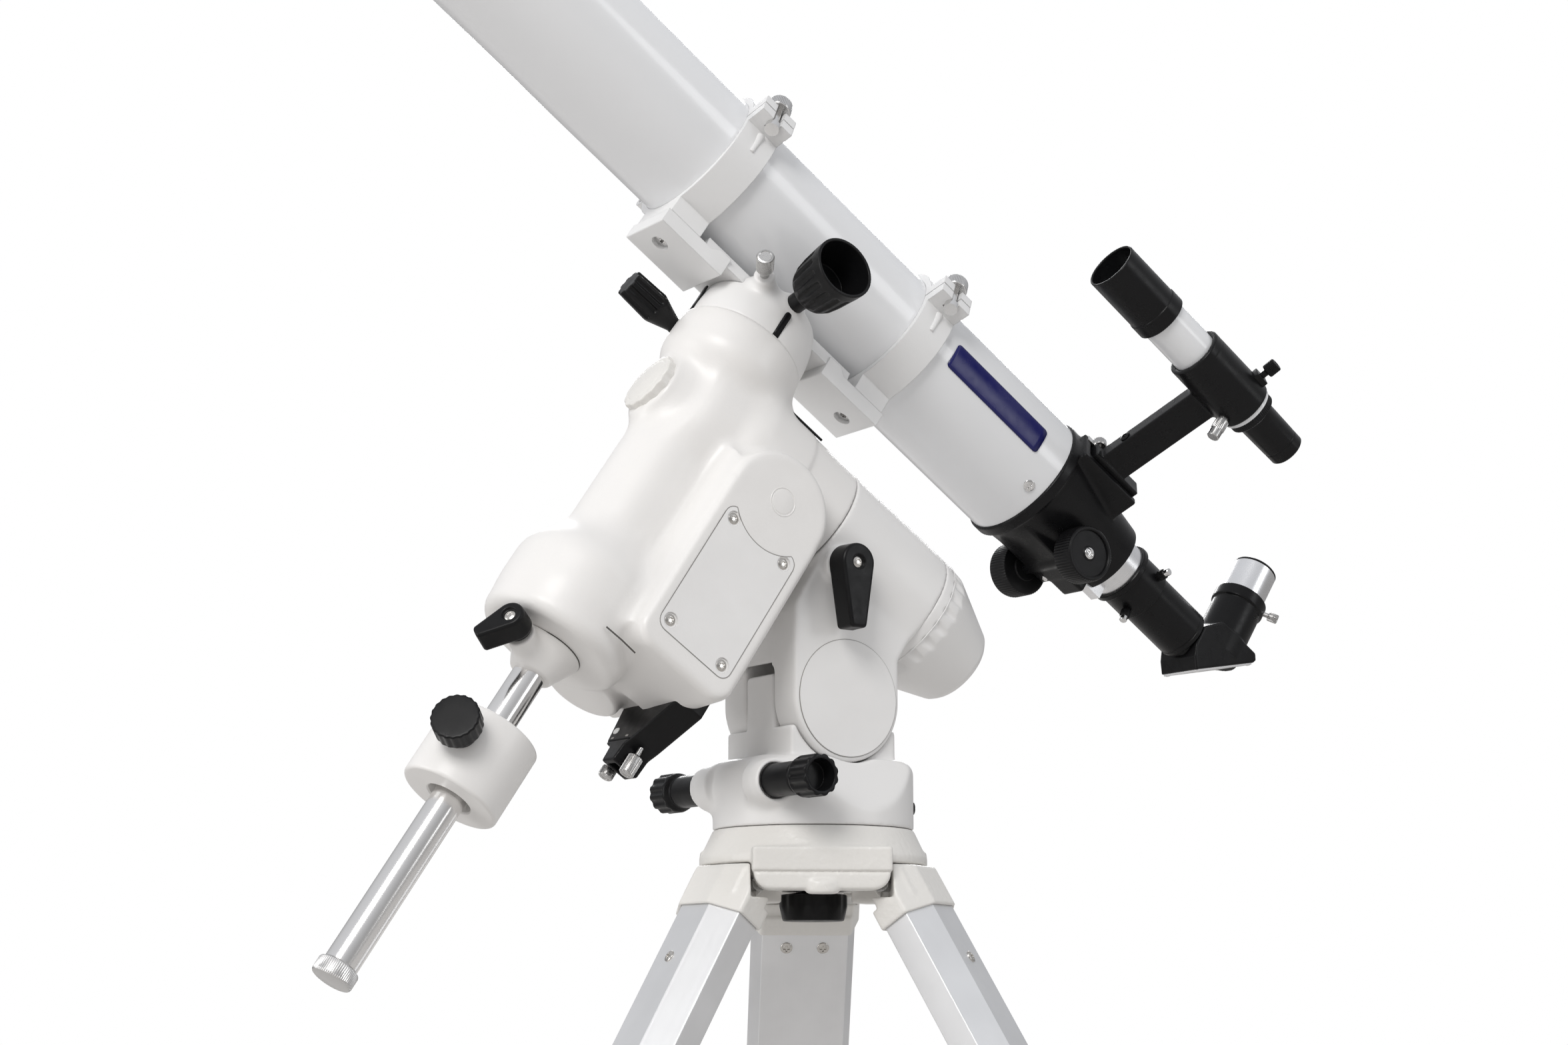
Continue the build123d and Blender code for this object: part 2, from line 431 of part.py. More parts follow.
# ---------------------------------------------------------------- main tube, lens, dew shield
save("main_tube", MOUNT * pipe((TUBE_BACK, 0, TUBE_T), (TUBE_FRONT, 0, TUBE_T), TUBE_R, TUBE_R - TUBE_WALL))
shield = turned((45.1, 392), (48.5, 392, 1), (48.5, 404), (SHIELD_R, 404, 2), (SHIELD_R, SHIELD_FRONT, 0.6), (51.5, SHIELD_FRONT, 0.6), (51.5, 437), (40.35, 437), (40.35, 412), (38, 412), (38, 402.4), (45.1, 402.4))
save("dew_shield", MOUNT * along_s(shield, TUBE_T))
lens = Pos(0, 0, 412.3) * Cylinder(40.2, 19.5, align=MID) & Pos(0, 0, 431.6 - 140) * Sphere(140)
save("objective_lens", MOUNT * along_s(lens, TUBE_T))

# ---------------------------------------------------------------- focuser
body = turned((43.4, -200), (43.4, -217.5), (46.6, -217.5, 0.8), (46.6, -224.5, 1.2), (44, -226), (40.5, -240, 20), (30.5, -284, 14), (27.6, -306, 2), (21.1, -306), (21.1, -250), (40, -226), (40, -200))
body = along_s(body, TUBE_T)
pinion_box = slab(rounded((-238, 95, 2), (-296, 95, 2), (-296, 128), (-238, 128)), -26.5, 26.5)
pinion_box += slab(rounded((-226, 108), (-238, 95), (-238, 128), (-226, 128)), -26.5, 26.5)
psi = math.radians(FINDER_PSI)
FIND = MOUNT * Plane(origin=(0, 0, TUBE_T), x_dir=(1, 0, 0), z_dir=(0, math.sin(psi), math.cos(psi))).location
FIND_IN = MOUNT.inverse() * FIND
shoe = FIND_IN * (block(-284, -226, -13.5, 13.5, 24, 52))
body = body + pinion_box + shoe
inner = along_s(turned((0, -330), (21.1, -330), (21.1, -250), (40, -226), (40, -195), (0, -195)), TUBE_T)
body -= inner
body -= FIND_IN * block(-290, -232, -7.3, 7.3, 45, 60)
body -= rod((FOCUS_S, -60, FOCUS_T), (FOCUS_S, 60, FOCUS_T), 3.06)
body -= rod((FOCUS_S, -12, FOCUS_T), (FOCUS_S, 12, FOCUS_T), 7.2)
body -= block(-340, -225, -4.6, 4.6, 114.2, 130)
save("focuser_body", MOUNT * body.solids().sort_by(SortBy.VOLUME)[-1])

wheel = turned((0, 0), (12, 0, 1), (17.6, 2.0, 1), (17.6, 15, 1.2), (0, 16))
knobs = [
    Plane(origin=(FOCUS_S, k * 29, FOCUS_T), z_dir=(0, k, 0)).location * (wheel - Cylinder(3.0, 24)) for k in (-1, 1)
]
axle = rod((FOCUS_S, -41, FOCUS_T), (FOCUS_S, 41, FOCUS_T), 2.99) + rod((FOCUS_S, -9.5, FOCUS_T), (FOCUS_S, 9.5, FOCUS_T), 6.0)
save("focus_knobs", MOUNT * many((knobs[0] + axle + knobs[1])))

draw = pipe((-320, 0, TUBE_T), (-244, 0, TUBE_T), 20.8, 18.3)
draw += block(-314, -246, -4.2, 4.2, 114.9, TUBE_T - 19) - rod((-330, 0, TUBE_T), (-230, 0, TUBE_T), 18.5)
save("drawtube", MOUNT * draw)
adapt = turned((16.1, -391), (18.7, -391, 0.8), (18.7, -346.4), (20.6, -346, 0.5), (20.6, -324.6), (23.2, -324.2, 1), (23.2, -320.1, 1), (18.2, -320.1), (18.2, -302), (16.1, -302))
save("adaptor", MOUNT * along_s(adapt, TUBE_T))

# ---------------------------------------------------------------- star diagonal and eyepiece
T = TUBE_T
wedge = rounded((-391.6, T - 31, 1), (-391.6, T + 17, 1), (-398, T + 24, 1), (-444, T + 24, 1), (-448, T + 21, 1))
diag = slab(wedge, -18, 18)
diag += rod((-391.7, 0, T), (-366, 0, T), 15.9)
diag += Pos(DIAG_S, 0, 0) * turned((0, T + 20), (17.6, T + 20), (17.6, T + 33), (19.2, T + 34, 0.8), (19.2, T + 43, 0.8), (0, T + 43))
diag -= Pos(DIAG_S, 0, 0) * rod((0, 0, T + 26), (0, 0, T + 60), 16.05)
diag -= rod((DIAG_S + 6, 0, T), (-360, 0, T), 12.5)
diag -= rod((DIAG_S, 0, T - 4), (DIAG_S, 0, T + 30), 12.5)
save("diagonal", MOUNT * diag)
ep = turned((11.5, T + 29), (15.9, T + 29), (15.9, T + 82), (16.6, T + 82, 0.3), (16.6, T + 87, 1.0), (9, T + 87), (9, T + 83), (11.5, T + 79))
save("eyepiece", MOUNT * (Pos(DIAG_S, 0, 0) * ep))

# ---------------------------------------------------------------- finder, in its own frame: x along, z out from the tube
R0 = FINDER_RHO
sleeve = turned((15.3, -279), (16.2, -279, 0.5), (18.8, -271, 2), (18.8, -217.4, 0.6), (15.3, -217.4))
sleeve = Plane(origin=(0, 0, R0), x_dir=(0, 0, -1), z_dir=(1, 0, 0)).location * sleeve
arm = block(-262, -239, -5.5, 5.5, 50, R0 - 16) + block(-281, -233, -7.0, 7.0, 45.3, 53)
arm -= rod((-290, 0, R0), (-200, 0, R0), 17)
save("finder_sleeve", FIND * (sleeve + arm))
save("finder_tube", FIND * pipe((-280, 0, R0), (-150, 0, R0), 15.0, 13.4))
hood = turned((15.1, -185), (17.6, -185, 0.6), (17.6, -174.5), (17.1, -174), (17.1, -134, 0.4), (15.6, -134, 0.4), (15.1, -150))
eye = turned((7, -316.5), (12.2, -316.5, 0.8), (12.8, -284), (14.9, -280.2), (7, -280.2))
TURN = Plane(origin=(0, 0, R0), x_dir=(0, 0, -1), z_dir=(1, 0, 0)).location
save("finder_fittings", FIND * many(TURN * hood, TURN * eye))
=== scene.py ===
import math

import bmesh
import bpy
import numpy as np
from mathutils import Matrix, Vector


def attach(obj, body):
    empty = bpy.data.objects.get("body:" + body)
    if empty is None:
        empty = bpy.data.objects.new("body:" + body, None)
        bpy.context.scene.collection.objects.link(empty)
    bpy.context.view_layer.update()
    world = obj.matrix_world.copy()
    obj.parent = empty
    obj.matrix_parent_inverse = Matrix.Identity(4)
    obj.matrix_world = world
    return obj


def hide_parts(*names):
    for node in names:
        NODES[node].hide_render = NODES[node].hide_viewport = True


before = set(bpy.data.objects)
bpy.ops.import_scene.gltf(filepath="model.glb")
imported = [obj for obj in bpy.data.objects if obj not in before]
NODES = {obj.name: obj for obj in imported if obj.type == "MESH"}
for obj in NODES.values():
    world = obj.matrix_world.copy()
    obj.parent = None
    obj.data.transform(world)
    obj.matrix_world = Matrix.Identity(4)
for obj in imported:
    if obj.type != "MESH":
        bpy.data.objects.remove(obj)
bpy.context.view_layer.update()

# ------------------------------------------------------------------ frames: millimetres inside, metres in the shared frame
LAT = math.radians(34.0)
C, S = math.cos(LAT), math.sin(LAT)
SEAM_H = 816.0
AXES_X, AXES_Z = -89.5, 246.7
ALT_X, ALT_Z = -1.5, 78.6
TUBE_T = 144.5


class Frame:
    """Origin and three right-handed directions."""

    def __init__(self, origin, x, y, z):
        self.o, self.m = np.array(origin, float), np.array([x, y, z], float)

    def put(self, p):
        """Local millimetres to metres."""
        return (self.o + np.asarray(p, float) @ self.m) / 1000

    def sub(self, origin, z, x=None):
        """A frame inside this one with its z along a direction."""
        z = np.array(z, float) / np.linalg.norm(z)
        x = np.array(x if x is not None else ((1, 0, 0) if abs(z[0]) < 0.9 else (0, 1, 0)), float)
        x = x - z * (x @ z)
        x = x / np.linalg.norm(x)
        y = np.cross(z, x)
        return Frame(self.o + np.asarray(origin, float) @ self.m, x @ self.m, y @ self.m, z @ self.m)

    def matrix(self, scale=0.001):
        m = Matrix.Identity(4)
        for i in range(3):
            for j in range(3):
                m[j][i] = self.m[i][j] * scale
            m[i][3] = self.o[i] / 1000
        return m

    def way(self, d):
        """A local direction in the shared frame."""
        v = np.asarray(d, float) @ self.m
        return Vector(v / np.linalg.norm(v))


SEAM = Frame((0, 0, SEAM_H), (1, 0, 0), (0, 1, 0), (0, 0, 1))
# along the polar axis, towards the front cheek, along the declination axis
MOUNT = Frame((AXES_X, 0, SEAM_H + AXES_Z), (-C, 0, S), (0, -1, 0), (S, 0, C))
TUBE = MOUNT.sub((0, 0, TUBE_T), (1, 0, 0), (0, 0, 1))        # z along the tube, x up, y = x turned a quarter
SP = math.radians(65)
RING = MOUNT.sub((0, 0, TUBE_T), (0, -math.cos(SP), math.sin(SP)), (1, 0, 0))
FP = math.radians(57)
FIND = MOUNT.sub((0, 0, TUBE_T), (0, math.sin(FP), math.cos(FP)), (1, 0, 0))
LEGS = {"n": 180, "ne": 60, "se": 300}


def leg_frame(a):
    r, k = math.radians(a), math.radians(30)
    d = (math.cos(r), math.sin(r))
    return Frame(
        (56 * d[0], 56 * d[1], SEAM_H - 34),
        (d[1], -d[0], 0),
        (math.cos(k) * d[0], math.cos(k) * d[1], math.sin(k)),
        (-math.sin(k) * d[0], -math.sin(k) * d[1], math.cos(k)),
    )


LEGF = {t: leg_frame(a) for t, a in LEGS.items()}


# ------------------------------------------------------------------ cast shapes: distance fields turned into meshes
class Field:
    """A regular grid of local points."""

    def __init__(self, lo, hi, h):
        self.lo, self.h = np.array(lo, np.float32), h
        n = [int(math.ceil((b - a) / h)) + 1 for a, b in zip(lo, hi)]
        self.x = (lo[0] + h * np.arange(n[0], dtype=np.float32))[:, None, None]
        self.y = (lo[1] + h * np.arange(n[1], dtype=np.float32))[None, :, None]
        self.z = (lo[2] + h * np.arange(n[2], dtype=np.float32))[None, None, :]

    def xyz(self):
        return self.x, self.y, self.z


def smin(a, b, k=0.0):
    """Union; k is the width of the fillet between the two."""
    if k <= 0:
        return np.minimum(a, b)
    h = np.maximum(k - np.abs(a - b), 0) / k
    return np.minimum(a, b) - h * h * (k / 4)


def smax(a, b, k=0.0):
    return -smin(-a, -b, k)


def rounded2(q0, q1, rd):
    return np.minimum(np.maximum(q0, q1), 0) + np.sqrt(np.maximum(q0, 0) ** 2 + np.maximum(q1, 0) ** 2) - rd


def capped(r, a, radius, a0, a1, rd=0.0):
    """Cylinder, from the distance r to its axis and the place a along it."""
    return rounded2(r - (radius - rd), np.abs(a - (a0 + a1) / 2) - ((a1 - a0) / 2 - rd), rd)


def extruded(d2, a, a0, a1, rd=0.0):
    """A flat outline's distance d2, pushed from a0 to a1, edges rounded by rd."""
    return rounded2(d2 + rd, np.abs(a - (a0 + a1) / 2) - ((a1 - a0) / 2 - rd), rd)


def polygon(px, py, pts):
    """Signed distance to a closed flat outline."""
    px, py = np.broadcast_arrays(px, py)
    d = np.full(px.shape, 1e9, np.float32)
    inside = np.zeros(px.shape, bool)
    for i in range(len(pts)):
        ax, ay = pts[i]
        bx, by = pts[i - 1]
        ex, ey = bx - ax, by - ay
        wx, wy = px - ax, py - ay
        k = np.clip((wx * ex + wy * ey) / (ex * ex + ey * ey), 0, 1)
        d = np.minimum(d, (wx - ex * k) ** 2 + (wy - ey * k) ** 2)
        c1, c2, c3 = py >= ay, py < by, ex * wy > ey * wx
        inside ^= (c1 & c2 & c3) | (~c1 & ~c2 & ~c3)
    return np.where(inside, -1, 1) * np.sqrt(d)


def boxd(dx, dy, dz, half, rd=0.0):
    q = [np.abs(d) - (hh - rd) for d, hh in zip((dx, dy, dz), half)]
    out = np.sqrt(np.maximum(q[0], 0) ** 2 + np.maximum(q[1], 0) ** 2 + np.maximum(q[2], 0) ** 2)
    return out + np.minimum(np.maximum(np.maximum(q[0], q[1]), q[2]), 0) - rd


def block(f, x0, x1, y0, y1, z0, z1, rd=0.0):
    x, y, z = f.xyz()
    return boxd(x - (x0 + x1) / 2, y - (y0 + y1) / 2, z - (z0 + z1) / 2, (abs(x1 - x0) / 2, abs(y1 - y0) / 2, abs(z1 - z0) / 2), rd)


def rod(f, p, q, r0, r1=None, rd=0.0):
    """Cylinder or cone between two points."""
    p, q = np.array(p, float), np.array(q, float)
    ln = np.linalg.norm(q - p)
    u = (q - p) / ln
    dx, dy, dz = f.x - p[0], f.y - p[1], f.z - p[2]
    a = dx * u[0] + dy * u[1] + dz * u[2]
    r = np.sqrt(np.maximum(dx * dx + dy * dy + dz * dz - a * a, 0))
    if r1 is None:
        return capped(r, a, r0, 0, ln, rd)
    k = (r1 - r0) / ln
    side = (r - (r0 + k * np.clip(a, -5, ln + 5))) / math.sqrt(1 + k * k)
    return rounded2(side + rd, np.abs(a - ln / 2) - (ln / 2 - rd), rd)


def polar(x, y):
    return np.sqrt(x * x + y * y), np.arctan2(y, x)


def repeat(ang, n, off=0.0):
    """Angle folded into one of n equal sectors, centred on zero."""
    w = 2 * math.pi / n
    return np.mod(ang - off + w / 2, w) - w / 2


def net(field, phi):
    """Quads of the zero surface of phi: one point in each crossed cell."""
    inside = phi < 0
    n = np.array(phi.shape) - 1
    corner = [(i, j, k) for i in (0, 1) for j in (0, 1) for k in (0, 1)]
    count = np.zeros(n, np.int8)
    for i, j, k in corner:
        count += inside[i:i + n[0], j:j + n[1], k:k + n[2]]
    cells = np.argwhere((count > 0) & (count < 8))
    vals = np.stack([phi[cells[:, 0] + i, cells[:, 1] + j, cells[:, 2] + k] for i, j, k in corner], 1)
    total, hits = np.zeros((len(cells), 3)), np.zeros(len(cells))
    for a in range(8):
        for b in range(a + 1, 8):
            ca, cb = np.array(corner[a]), np.array(corner[b])
            if np.abs(ca - cb).sum() != 1:
                continue
            cross = (vals[:, a] < 0) != (vals[:, b] < 0)
            k = vals[cross, a] / (vals[cross, a] - vals[cross, b])
            total[cross] += ca + k[:, None] * (cb - ca)
            hits[cross] += 1
    pts = field.lo + field.h * (cells + total / hits[:, None])
    ident = np.full(n, -1, np.int32)
    ident[tuple(cells.T)] = np.arange(len(cells))
    quads = []
    for ax in range(3):
        u, v = (ax + 1) % 3, (ax + 2) % 3
        s0, s1 = [slice(None)] * 3, [slice(None)] * 3
        s0[ax], s1[ax] = slice(0, -1), slice(1, None)
        a, b = inside[tuple(s0)], inside[tuple(s1)]
        edge = np.argwhere(a != b)
        edge = edge[(edge[:, u] > 0) & (edge[:, v] > 0) & (edge[:, u] < n[u]) & (edge[:, v] < n[v])]
        eu, ev = np.eye(3, dtype=int)[u], np.eye(3, dtype=int)[v]
        q = np.stack([ident[tuple((edge - eu - ev).T)], ident[tuple((edge - ev).T)], ident[tuple(edge.T)], ident[tuple((edge - eu).T)]], 1)
        flip = ~a[tuple(edge.T)]
        q[flip] = q[flip][:, ::-1]
        quads.append(q)
    return pts, np.concatenate(quads)


def mesh_of(name, pts, faces, smooth=True):
    me = bpy.data.meshes.new(name)
    me.from_pydata([tuple(p) for p in pts], [], [tuple(int(i) for i in f) for f in faces])
    me.polygons.foreach_set("use_smooth", np.full(len(me.polygons), smooth))
    me.update()
    return me


def object_of(name, me):
    ob = bpy.data.objects.new(name, me)
    bpy.context.scene.collection.objects.link(ob)
    return ob


def cast_mesh(name, field, phi, fr):
    pts, quads = net(field, np.broadcast_to(phi, (field.x.size, field.y.size, field.z.size)))
    pts = fr.put(pts)
    me = bpy.data.meshes.new(name)
    me.vertices.add(len(pts))
    me.vertices.foreach_set("co", pts.astype(np.float32).ravel())
    me.loops.add(len(quads) * 4)
    me.loops.foreach_set("vertex_index", quads.astype(np.int32).ravel())
    me.polygons.add(len(quads))
    me.polygons.foreach_set("loop_start", np.arange(0, len(quads) * 4, 4, dtype=np.int32))
    me.polygons.foreach_set("use_smooth", np.ones(len(quads), bool))
    me.update(calc_edges=True)
    me.validate()
    return me


def cast(name, field, phi, fr):
    ob = object_of(name, cast_mesh(name, field, phi, fr))
    if field.h >= 0.84:
        md = ob.modifiers.new("even", "SMOOTH")
        md.factor, md.iterations = 0.5, 3
    return ob


def lathe(name, prof, fr, n=128, ribs=0, depth=0.0, band=None, sharp=32):
    """Profile of (radius, z) points turned round the frame's z. ribs: count and depth of fine grooves in the given z band."""
    if ribs:
        n = ribs * 4
    pts, faces = [], []
    m = len(prof)
    for r, z in prof:
        for i in range(n):
            k = r
            if ribs and band[0] - 1e-6 <= z <= band[1] + 1e-6 and i % 4 in (2, 3):
                k = r - depth
            a = 2 * math.pi * i / n
            pts.append((k * math.cos(a), k * math.sin(a), z))
    for j in range(m - 1):
        for i in range(n):
            faces.append((j * n + i, j * n + (i + 1) % n, (j + 1) * n + (i + 1) % n, (j + 1) * n + i))
    bm = bmesh.new()
    vs = [bm.verts.new(p) for p in fr.put(np.array(pts))]
    for f in faces:
        bm.faces.new([vs[i] for i in f])
    bmesh.ops.remove_doubles(bm, verts=bm.verts, dist=1e-7)
    bmesh.ops.dissolve_degenerate(bm, edges=bm.edges, dist=1e-8)
    bmesh.ops.recalc_face_normals(bm, faces=bm.faces)
    me = bpy.data.meshes.new(name)
    bm.to_mesh(me)
    bm.free()
    me.polygons.foreach_set("use_smooth", np.ones(len(me.polygons), bool))
    me.set_sharp_from_angle(angle=math.radians(sharp))
    return object_of(name, me)


def arc(cx, cz, r, a0, a1, n=6):
    """Points of a profile round-over, degrees from +r towards +z."""
    return [(cx + r * math.cos(math.radians(a0 + (a1 - a0) * i / n)), cz + r * math.sin(math.radians(a0 + (a1 - a0) * i / n))) for i in range(n + 1)]


def prism(name, outline, fr, z0, z1, bevel=0.0, seg=3):
    """Flat outline in x and y pushed from z0 to z1, edges rounded."""
    bm = bmesh.new()
    lo = [bm.verts.new(p) for p in fr.put(np.array([(x, y, z0) for x, y in outline]))]
    hi = [bm.verts.new(p) for p in fr.put(np.array([(x, y, z1) for x, y in outline]))]
    n = len(outline)
    bm.faces.new(lo[::-1])
    bm.faces.new(hi)
    for i in range(n):
        bm.faces.new((lo[i], lo[(i + 1) % n], hi[(i + 1) % n], hi[i]))
    bmesh.ops.recalc_face_normals(bm, faces=bm.faces)
    me = bpy.data.meshes.new(name)
    bm.to_mesh(me)
    bm.free()
    ob = object_of(name, me)
    if bevel:
        md = ob.modifiers.new("edge", "BEVEL")
        md.width, md.segments, md.limit_method, md.angle_limit = bevel / 1000, seg, "ANGLE", math.radians(30)
    me.polygons.foreach_set("use_smooth", np.ones(len(me.polygons), bool))
    me.set_sharp_from_angle(angle=math.radians(32))
    return ob


def corner_round(pts, n=5):
    """Outline with its corners rounded: points are (x, y, radius)."""
    out = []
    for i, (x, y, r) in enumerate(pts):
        a, b = np.array(pts[i - 1][:2]), np.array(pts[(i + 1) % len(pts)][:2])
        p = np.array((x, y), float)
        if r <= 0:
            out.append((x, y))
            continue
        ua, ub = (a - p) / np.linalg.norm(a - p), (b - p) / np.linalg.norm(b - p)
        half = math.acos(max(-1, min(1, float(ua @ ub)))) / 2
        bis = (ua + ub) / np.linalg.norm(ua + ub)
        c = p + bis * r / math.sin(half)
        s0, s1 = p + ua * r / math.tan(half), p + ub * r / math.tan(half)
        v0, v1 = s0 - c, s1 - c
        a0 = math.atan2(v0[1], v0[0])
        da = math.atan2(v1[1], v1[0]) - a0
        da = (da + math.pi) % (2 * math.pi) - math.pi
        out += [(c[0] + r * math.cos(a0 + da * k / n), c[1] + r * math.sin(a0 + da * k / n)) for k in range(n + 1)]
    return out


def wrap(name, outline, radius, fr, thick=0.25, grid=1.5):
    """Thin skin on a cylinder about the frame's z: outline in (mm along z, degrees round)."""
    xs, ys = [p[0] for p in outline], [p[1] for p in outline]
    bm = bmesh.new()
    vs = [bm.verts.new((x, y, 0)) for x, y in outline]
    bm.faces.new(vs)
    for axis, lo, hi, step in ((0, min(xs), max(xs), grid * 3), (1, min(ys), max(ys), math.degrees(grid / radius) * 1.5)):
        k = lo + step
        while k < hi:
            co, no = [0, 0, 0], [0, 0, 0]
            co[axis], no[axis] = k, 1
            bmesh.ops.bisect_plane(bm, geom=bm.verts[:] + bm.edges[:] + bm.faces[:], plane_co=co, plane_no=no)
            k += step
    flat = [(v.co.x, v.co.y) for v in bm.verts]
    bm.verts.ensure_lookup_table()
    for (z, a), v in zip(flat, bm.verts):
        v.co = fr.put(((radius + thick) * math.cos(math.radians(a)), (radius + thick) * math.sin(math.radians(a)), z))
    me = bpy.data.meshes.new(name)
    bm.to_mesh(me)
    bm.free()
    me.polygons.foreach_set("use_smooth", np.ones(len(me.polygons), bool))
    ob = object_of(name, me)
    md = ob.modifiers.new("thick", "SOLIDIFY")
    md.thickness, md.offset = (thick + 0.4) / 1000, -1
    return ob


def ribbon(name, line, fr, z0, z1, width, closed=True, side=1):
    """Narrow band along a flat line (x, y), from z0 to z1."""
    p = np.array(line, float)
    n = len(p)
    nxt, prv = np.roll(p, -1, 0), np.roll(p, 1, 0)
    if not closed:
        nxt[-1], prv[0] = p[-1], p[0]
    d = nxt - prv
    d /= np.linalg.norm(d, axis=1)[:, None]
    q = p + side * width * np.stack([d[:, 1], -d[:, 0]], 1)
    ring = [np.column_stack([a, np.full(n, z)]) for a, z in ((p, z0), (q, z0), (q, z1), (p, z1))]
    pts = fr.put(np.concatenate(ring))
    faces = []
    for i in range(n if closed else n - 1):
        j = (i + 1) % n
        for k in range(4):
            l = (k + 1) % 4
            faces.append((k * n + i, k * n + j, l * n + j, l * n + i))
    return object_of(name, mesh_of(name, pts, faces, smooth=False))


def merge(name, items):
    """One mesh object from (mesh in local mm, frame) pairs."""
    bm = bmesh.new()
    for me, fr in items:
        tmp = me.copy()
        tmp.transform(fr.matrix())
        bm.from_mesh(tmp)
        bpy.data.meshes.remove(tmp)
    me = bpy.data.meshes.new(name)
    bm.to_mesh(me)
    bm.free()
    me.polygons.foreach_set("use_smooth", np.ones(len(me.polygons), bool))
    return object_of(name, me)


UNIT = Frame((0, 0, 0), (1000, 0, 0), (0, 1000, 0), (0, 0, 1000))


def piece(ob, body, mat, slot, *nodes):
    """Gives a finished shape its finish, its body, and the nodes it stands for."""
    ob.data.materials.clear()
    ob.data.materials.append(M[mat])
    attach(ob, body)
    if nodes:
        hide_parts(*nodes)
    return ob

# ------------------------------------------------------------------ finishes
def new_mat(name):
    m = bpy.data.materials.new(name)
    m.use_nodes = True
    return m, m.node_tree, m.node_tree.nodes["Principled BSDF"]


def coords(nt):
    return nt.nodes.new("ShaderNodeTexCoord").outputs["Object"]


def noise(nt, vec, scale, detail=3.0, rough=0.5):
    n = nt.nodes.new("ShaderNodeTexNoise")
    n.inputs["Scale"].default_value = scale
    n.inputs["Detail"].default_value = detail
    n.inputs["Roughness"].default_value = rough
    nt.links.new(vec, n.inputs["Vector"])
    return n.outputs["Fac"]


def ramp(nt, fac, stops):
    r = nt.nodes.new("ShaderNodeValToRGB")
    els = r.color_ramp.elements
    while len(els) < len(stops):
        els.new(0.5)
    for e, (p, c) in zip(els, stops):
        e.position = p
        e.color = (*c, 1)
    nt.links.new(fac, r.inputs["Fac"])
    return r.outputs["Color"]


def span(nt, fac, lo, hi):
    r = nt.nodes.new("ShaderNodeMapRange")
    r.inputs["From Min"].default_value = 0.3
    r.inputs["From Max"].default_value = 0.7
    r.inputs["To Min"].default_value = lo
    r.inputs["To Max"].default_value = hi
    nt.links.new(fac, r.inputs["Value"])
    return r.outputs["Result"]


def edge_normal(nt, radius):
    """Rounds sharp edges in the shading."""
    b = nt.nodes.new("ShaderNodeBevel")
    b.samples = 4
    b.inputs["Radius"].default_value = radius
    return b.outputs["Normal"]


def bump(nt, bsdf, height, strength, distance, before=None):
    b = nt.nodes.new("ShaderNodeBump")
    b.inputs["Strength"].default_value = strength
    b.inputs["Distance"].default_value = distance
    nt.links.new(height, b.inputs["Height"])
    if before is not None:
        nt.links.new(before, b.inputs["Normal"])
    nt.links.new(b.outputs["Normal"], bsdf.inputs["Normal"])
    return b.outputs["Normal"]


def shade(c, k):
    return tuple(max(0.0, min(1.0, x * k)) for x in c)


def paint(name, colour, rough=0.35, peel=700, peel_s=0.12, peel_d=0.0004, fine=0.0, vary=0.02, coat=0.0, edge=0.0):
    """Sprayed paint: slow colour drift, orange peel, uneven gloss."""
    m, nt, b = new_mat(name)
    v = coords(nt)
    nt.links.new(ramp(nt, noise(nt, v, 9, 2), [(0.3, shade(colour, 1 - vary)), (0.7, shade(colour, 1 + vary))]), b.inputs["Base Color"])
    nt.links.new(span(nt, noise(nt, v, 60, 4), rough * 0.85, rough * 1.15), b.inputs["Roughness"])
    if coat:
        b.inputs["Coat Weight"].default_value = coat
        b.inputs["Coat Roughness"].default_value = 0.10
    n = edge_normal(nt, edge) if edge else None
    n = bump(nt, b, noise(nt, v, peel, 1.5, 0.4), peel_s, peel_d, n)
    if fine:
        bump(nt, b, noise(nt, v, 3200, 2), fine, 0.00015, n)
    return m


def plastic(name, colour, rough=0.42, grain=0.15, scale=2600, vary=0.12, edge=0.0, spec=0.5):
    m, nt, b = new_mat(name)
    b.inputs["Specular IOR Level"].default_value = spec
    v = coords(nt)
    nt.links.new(ramp(nt, noise(nt, v, 40, 3), [(0.3, shade(colour, 1 - vary)), (0.7, shade(colour, 1 + vary))]), b.inputs["Base Color"])
    nt.links.new(span(nt, noise(nt, v, 180, 4), rough * 0.8, rough * 1.2), b.inputs["Roughness"])
    bump(nt, b, noise(nt, v, scale, 2), grain, 0.0002, edge_normal(nt, edge) if edge else None)
    return m


def metal(name, colour, rough=0.22, across=None, scale=2500, strength=0.08, vary=0.04, edge=0.0, metallic=1.0):
    """Bare metal. across: direction that the fine tool marks change along; none means blasted grain."""
    m, nt, b = new_mat(name)
    b.inputs["Metallic"].default_value = metallic
    v = coords(nt)
    if across is not None:
        d = nt.nodes.new("ShaderNodeVectorMath")
        d.operation = "DOT_PRODUCT"
        d.inputs[1].default_value = tuple(across)
        nt.links.new(v, d.inputs[0])
        c = nt.nodes.new("ShaderNodeCombineXYZ")
        nt.links.new(d.outputs["Value"], c.inputs["X"])
        fac = noise(nt, c.outputs["Vector"], scale, 3, 0.6)
    else:
        fac = noise(nt, v, scale, 3, 0.6)
    nt.links.new(ramp(nt, noise(nt, v, 25, 3), [(0.3, shade(colour, 1 - vary)), (0.7, shade(colour, 1 + vary))]), b.inputs["Base Color"])
    nt.links.new(span(nt, fac, rough * 0.75, rough * 1.25), b.inputs["Roughness"])
    bump(nt, b, fac, strength, 0.0001, edge_normal(nt, edge) if edge else None)
    return m


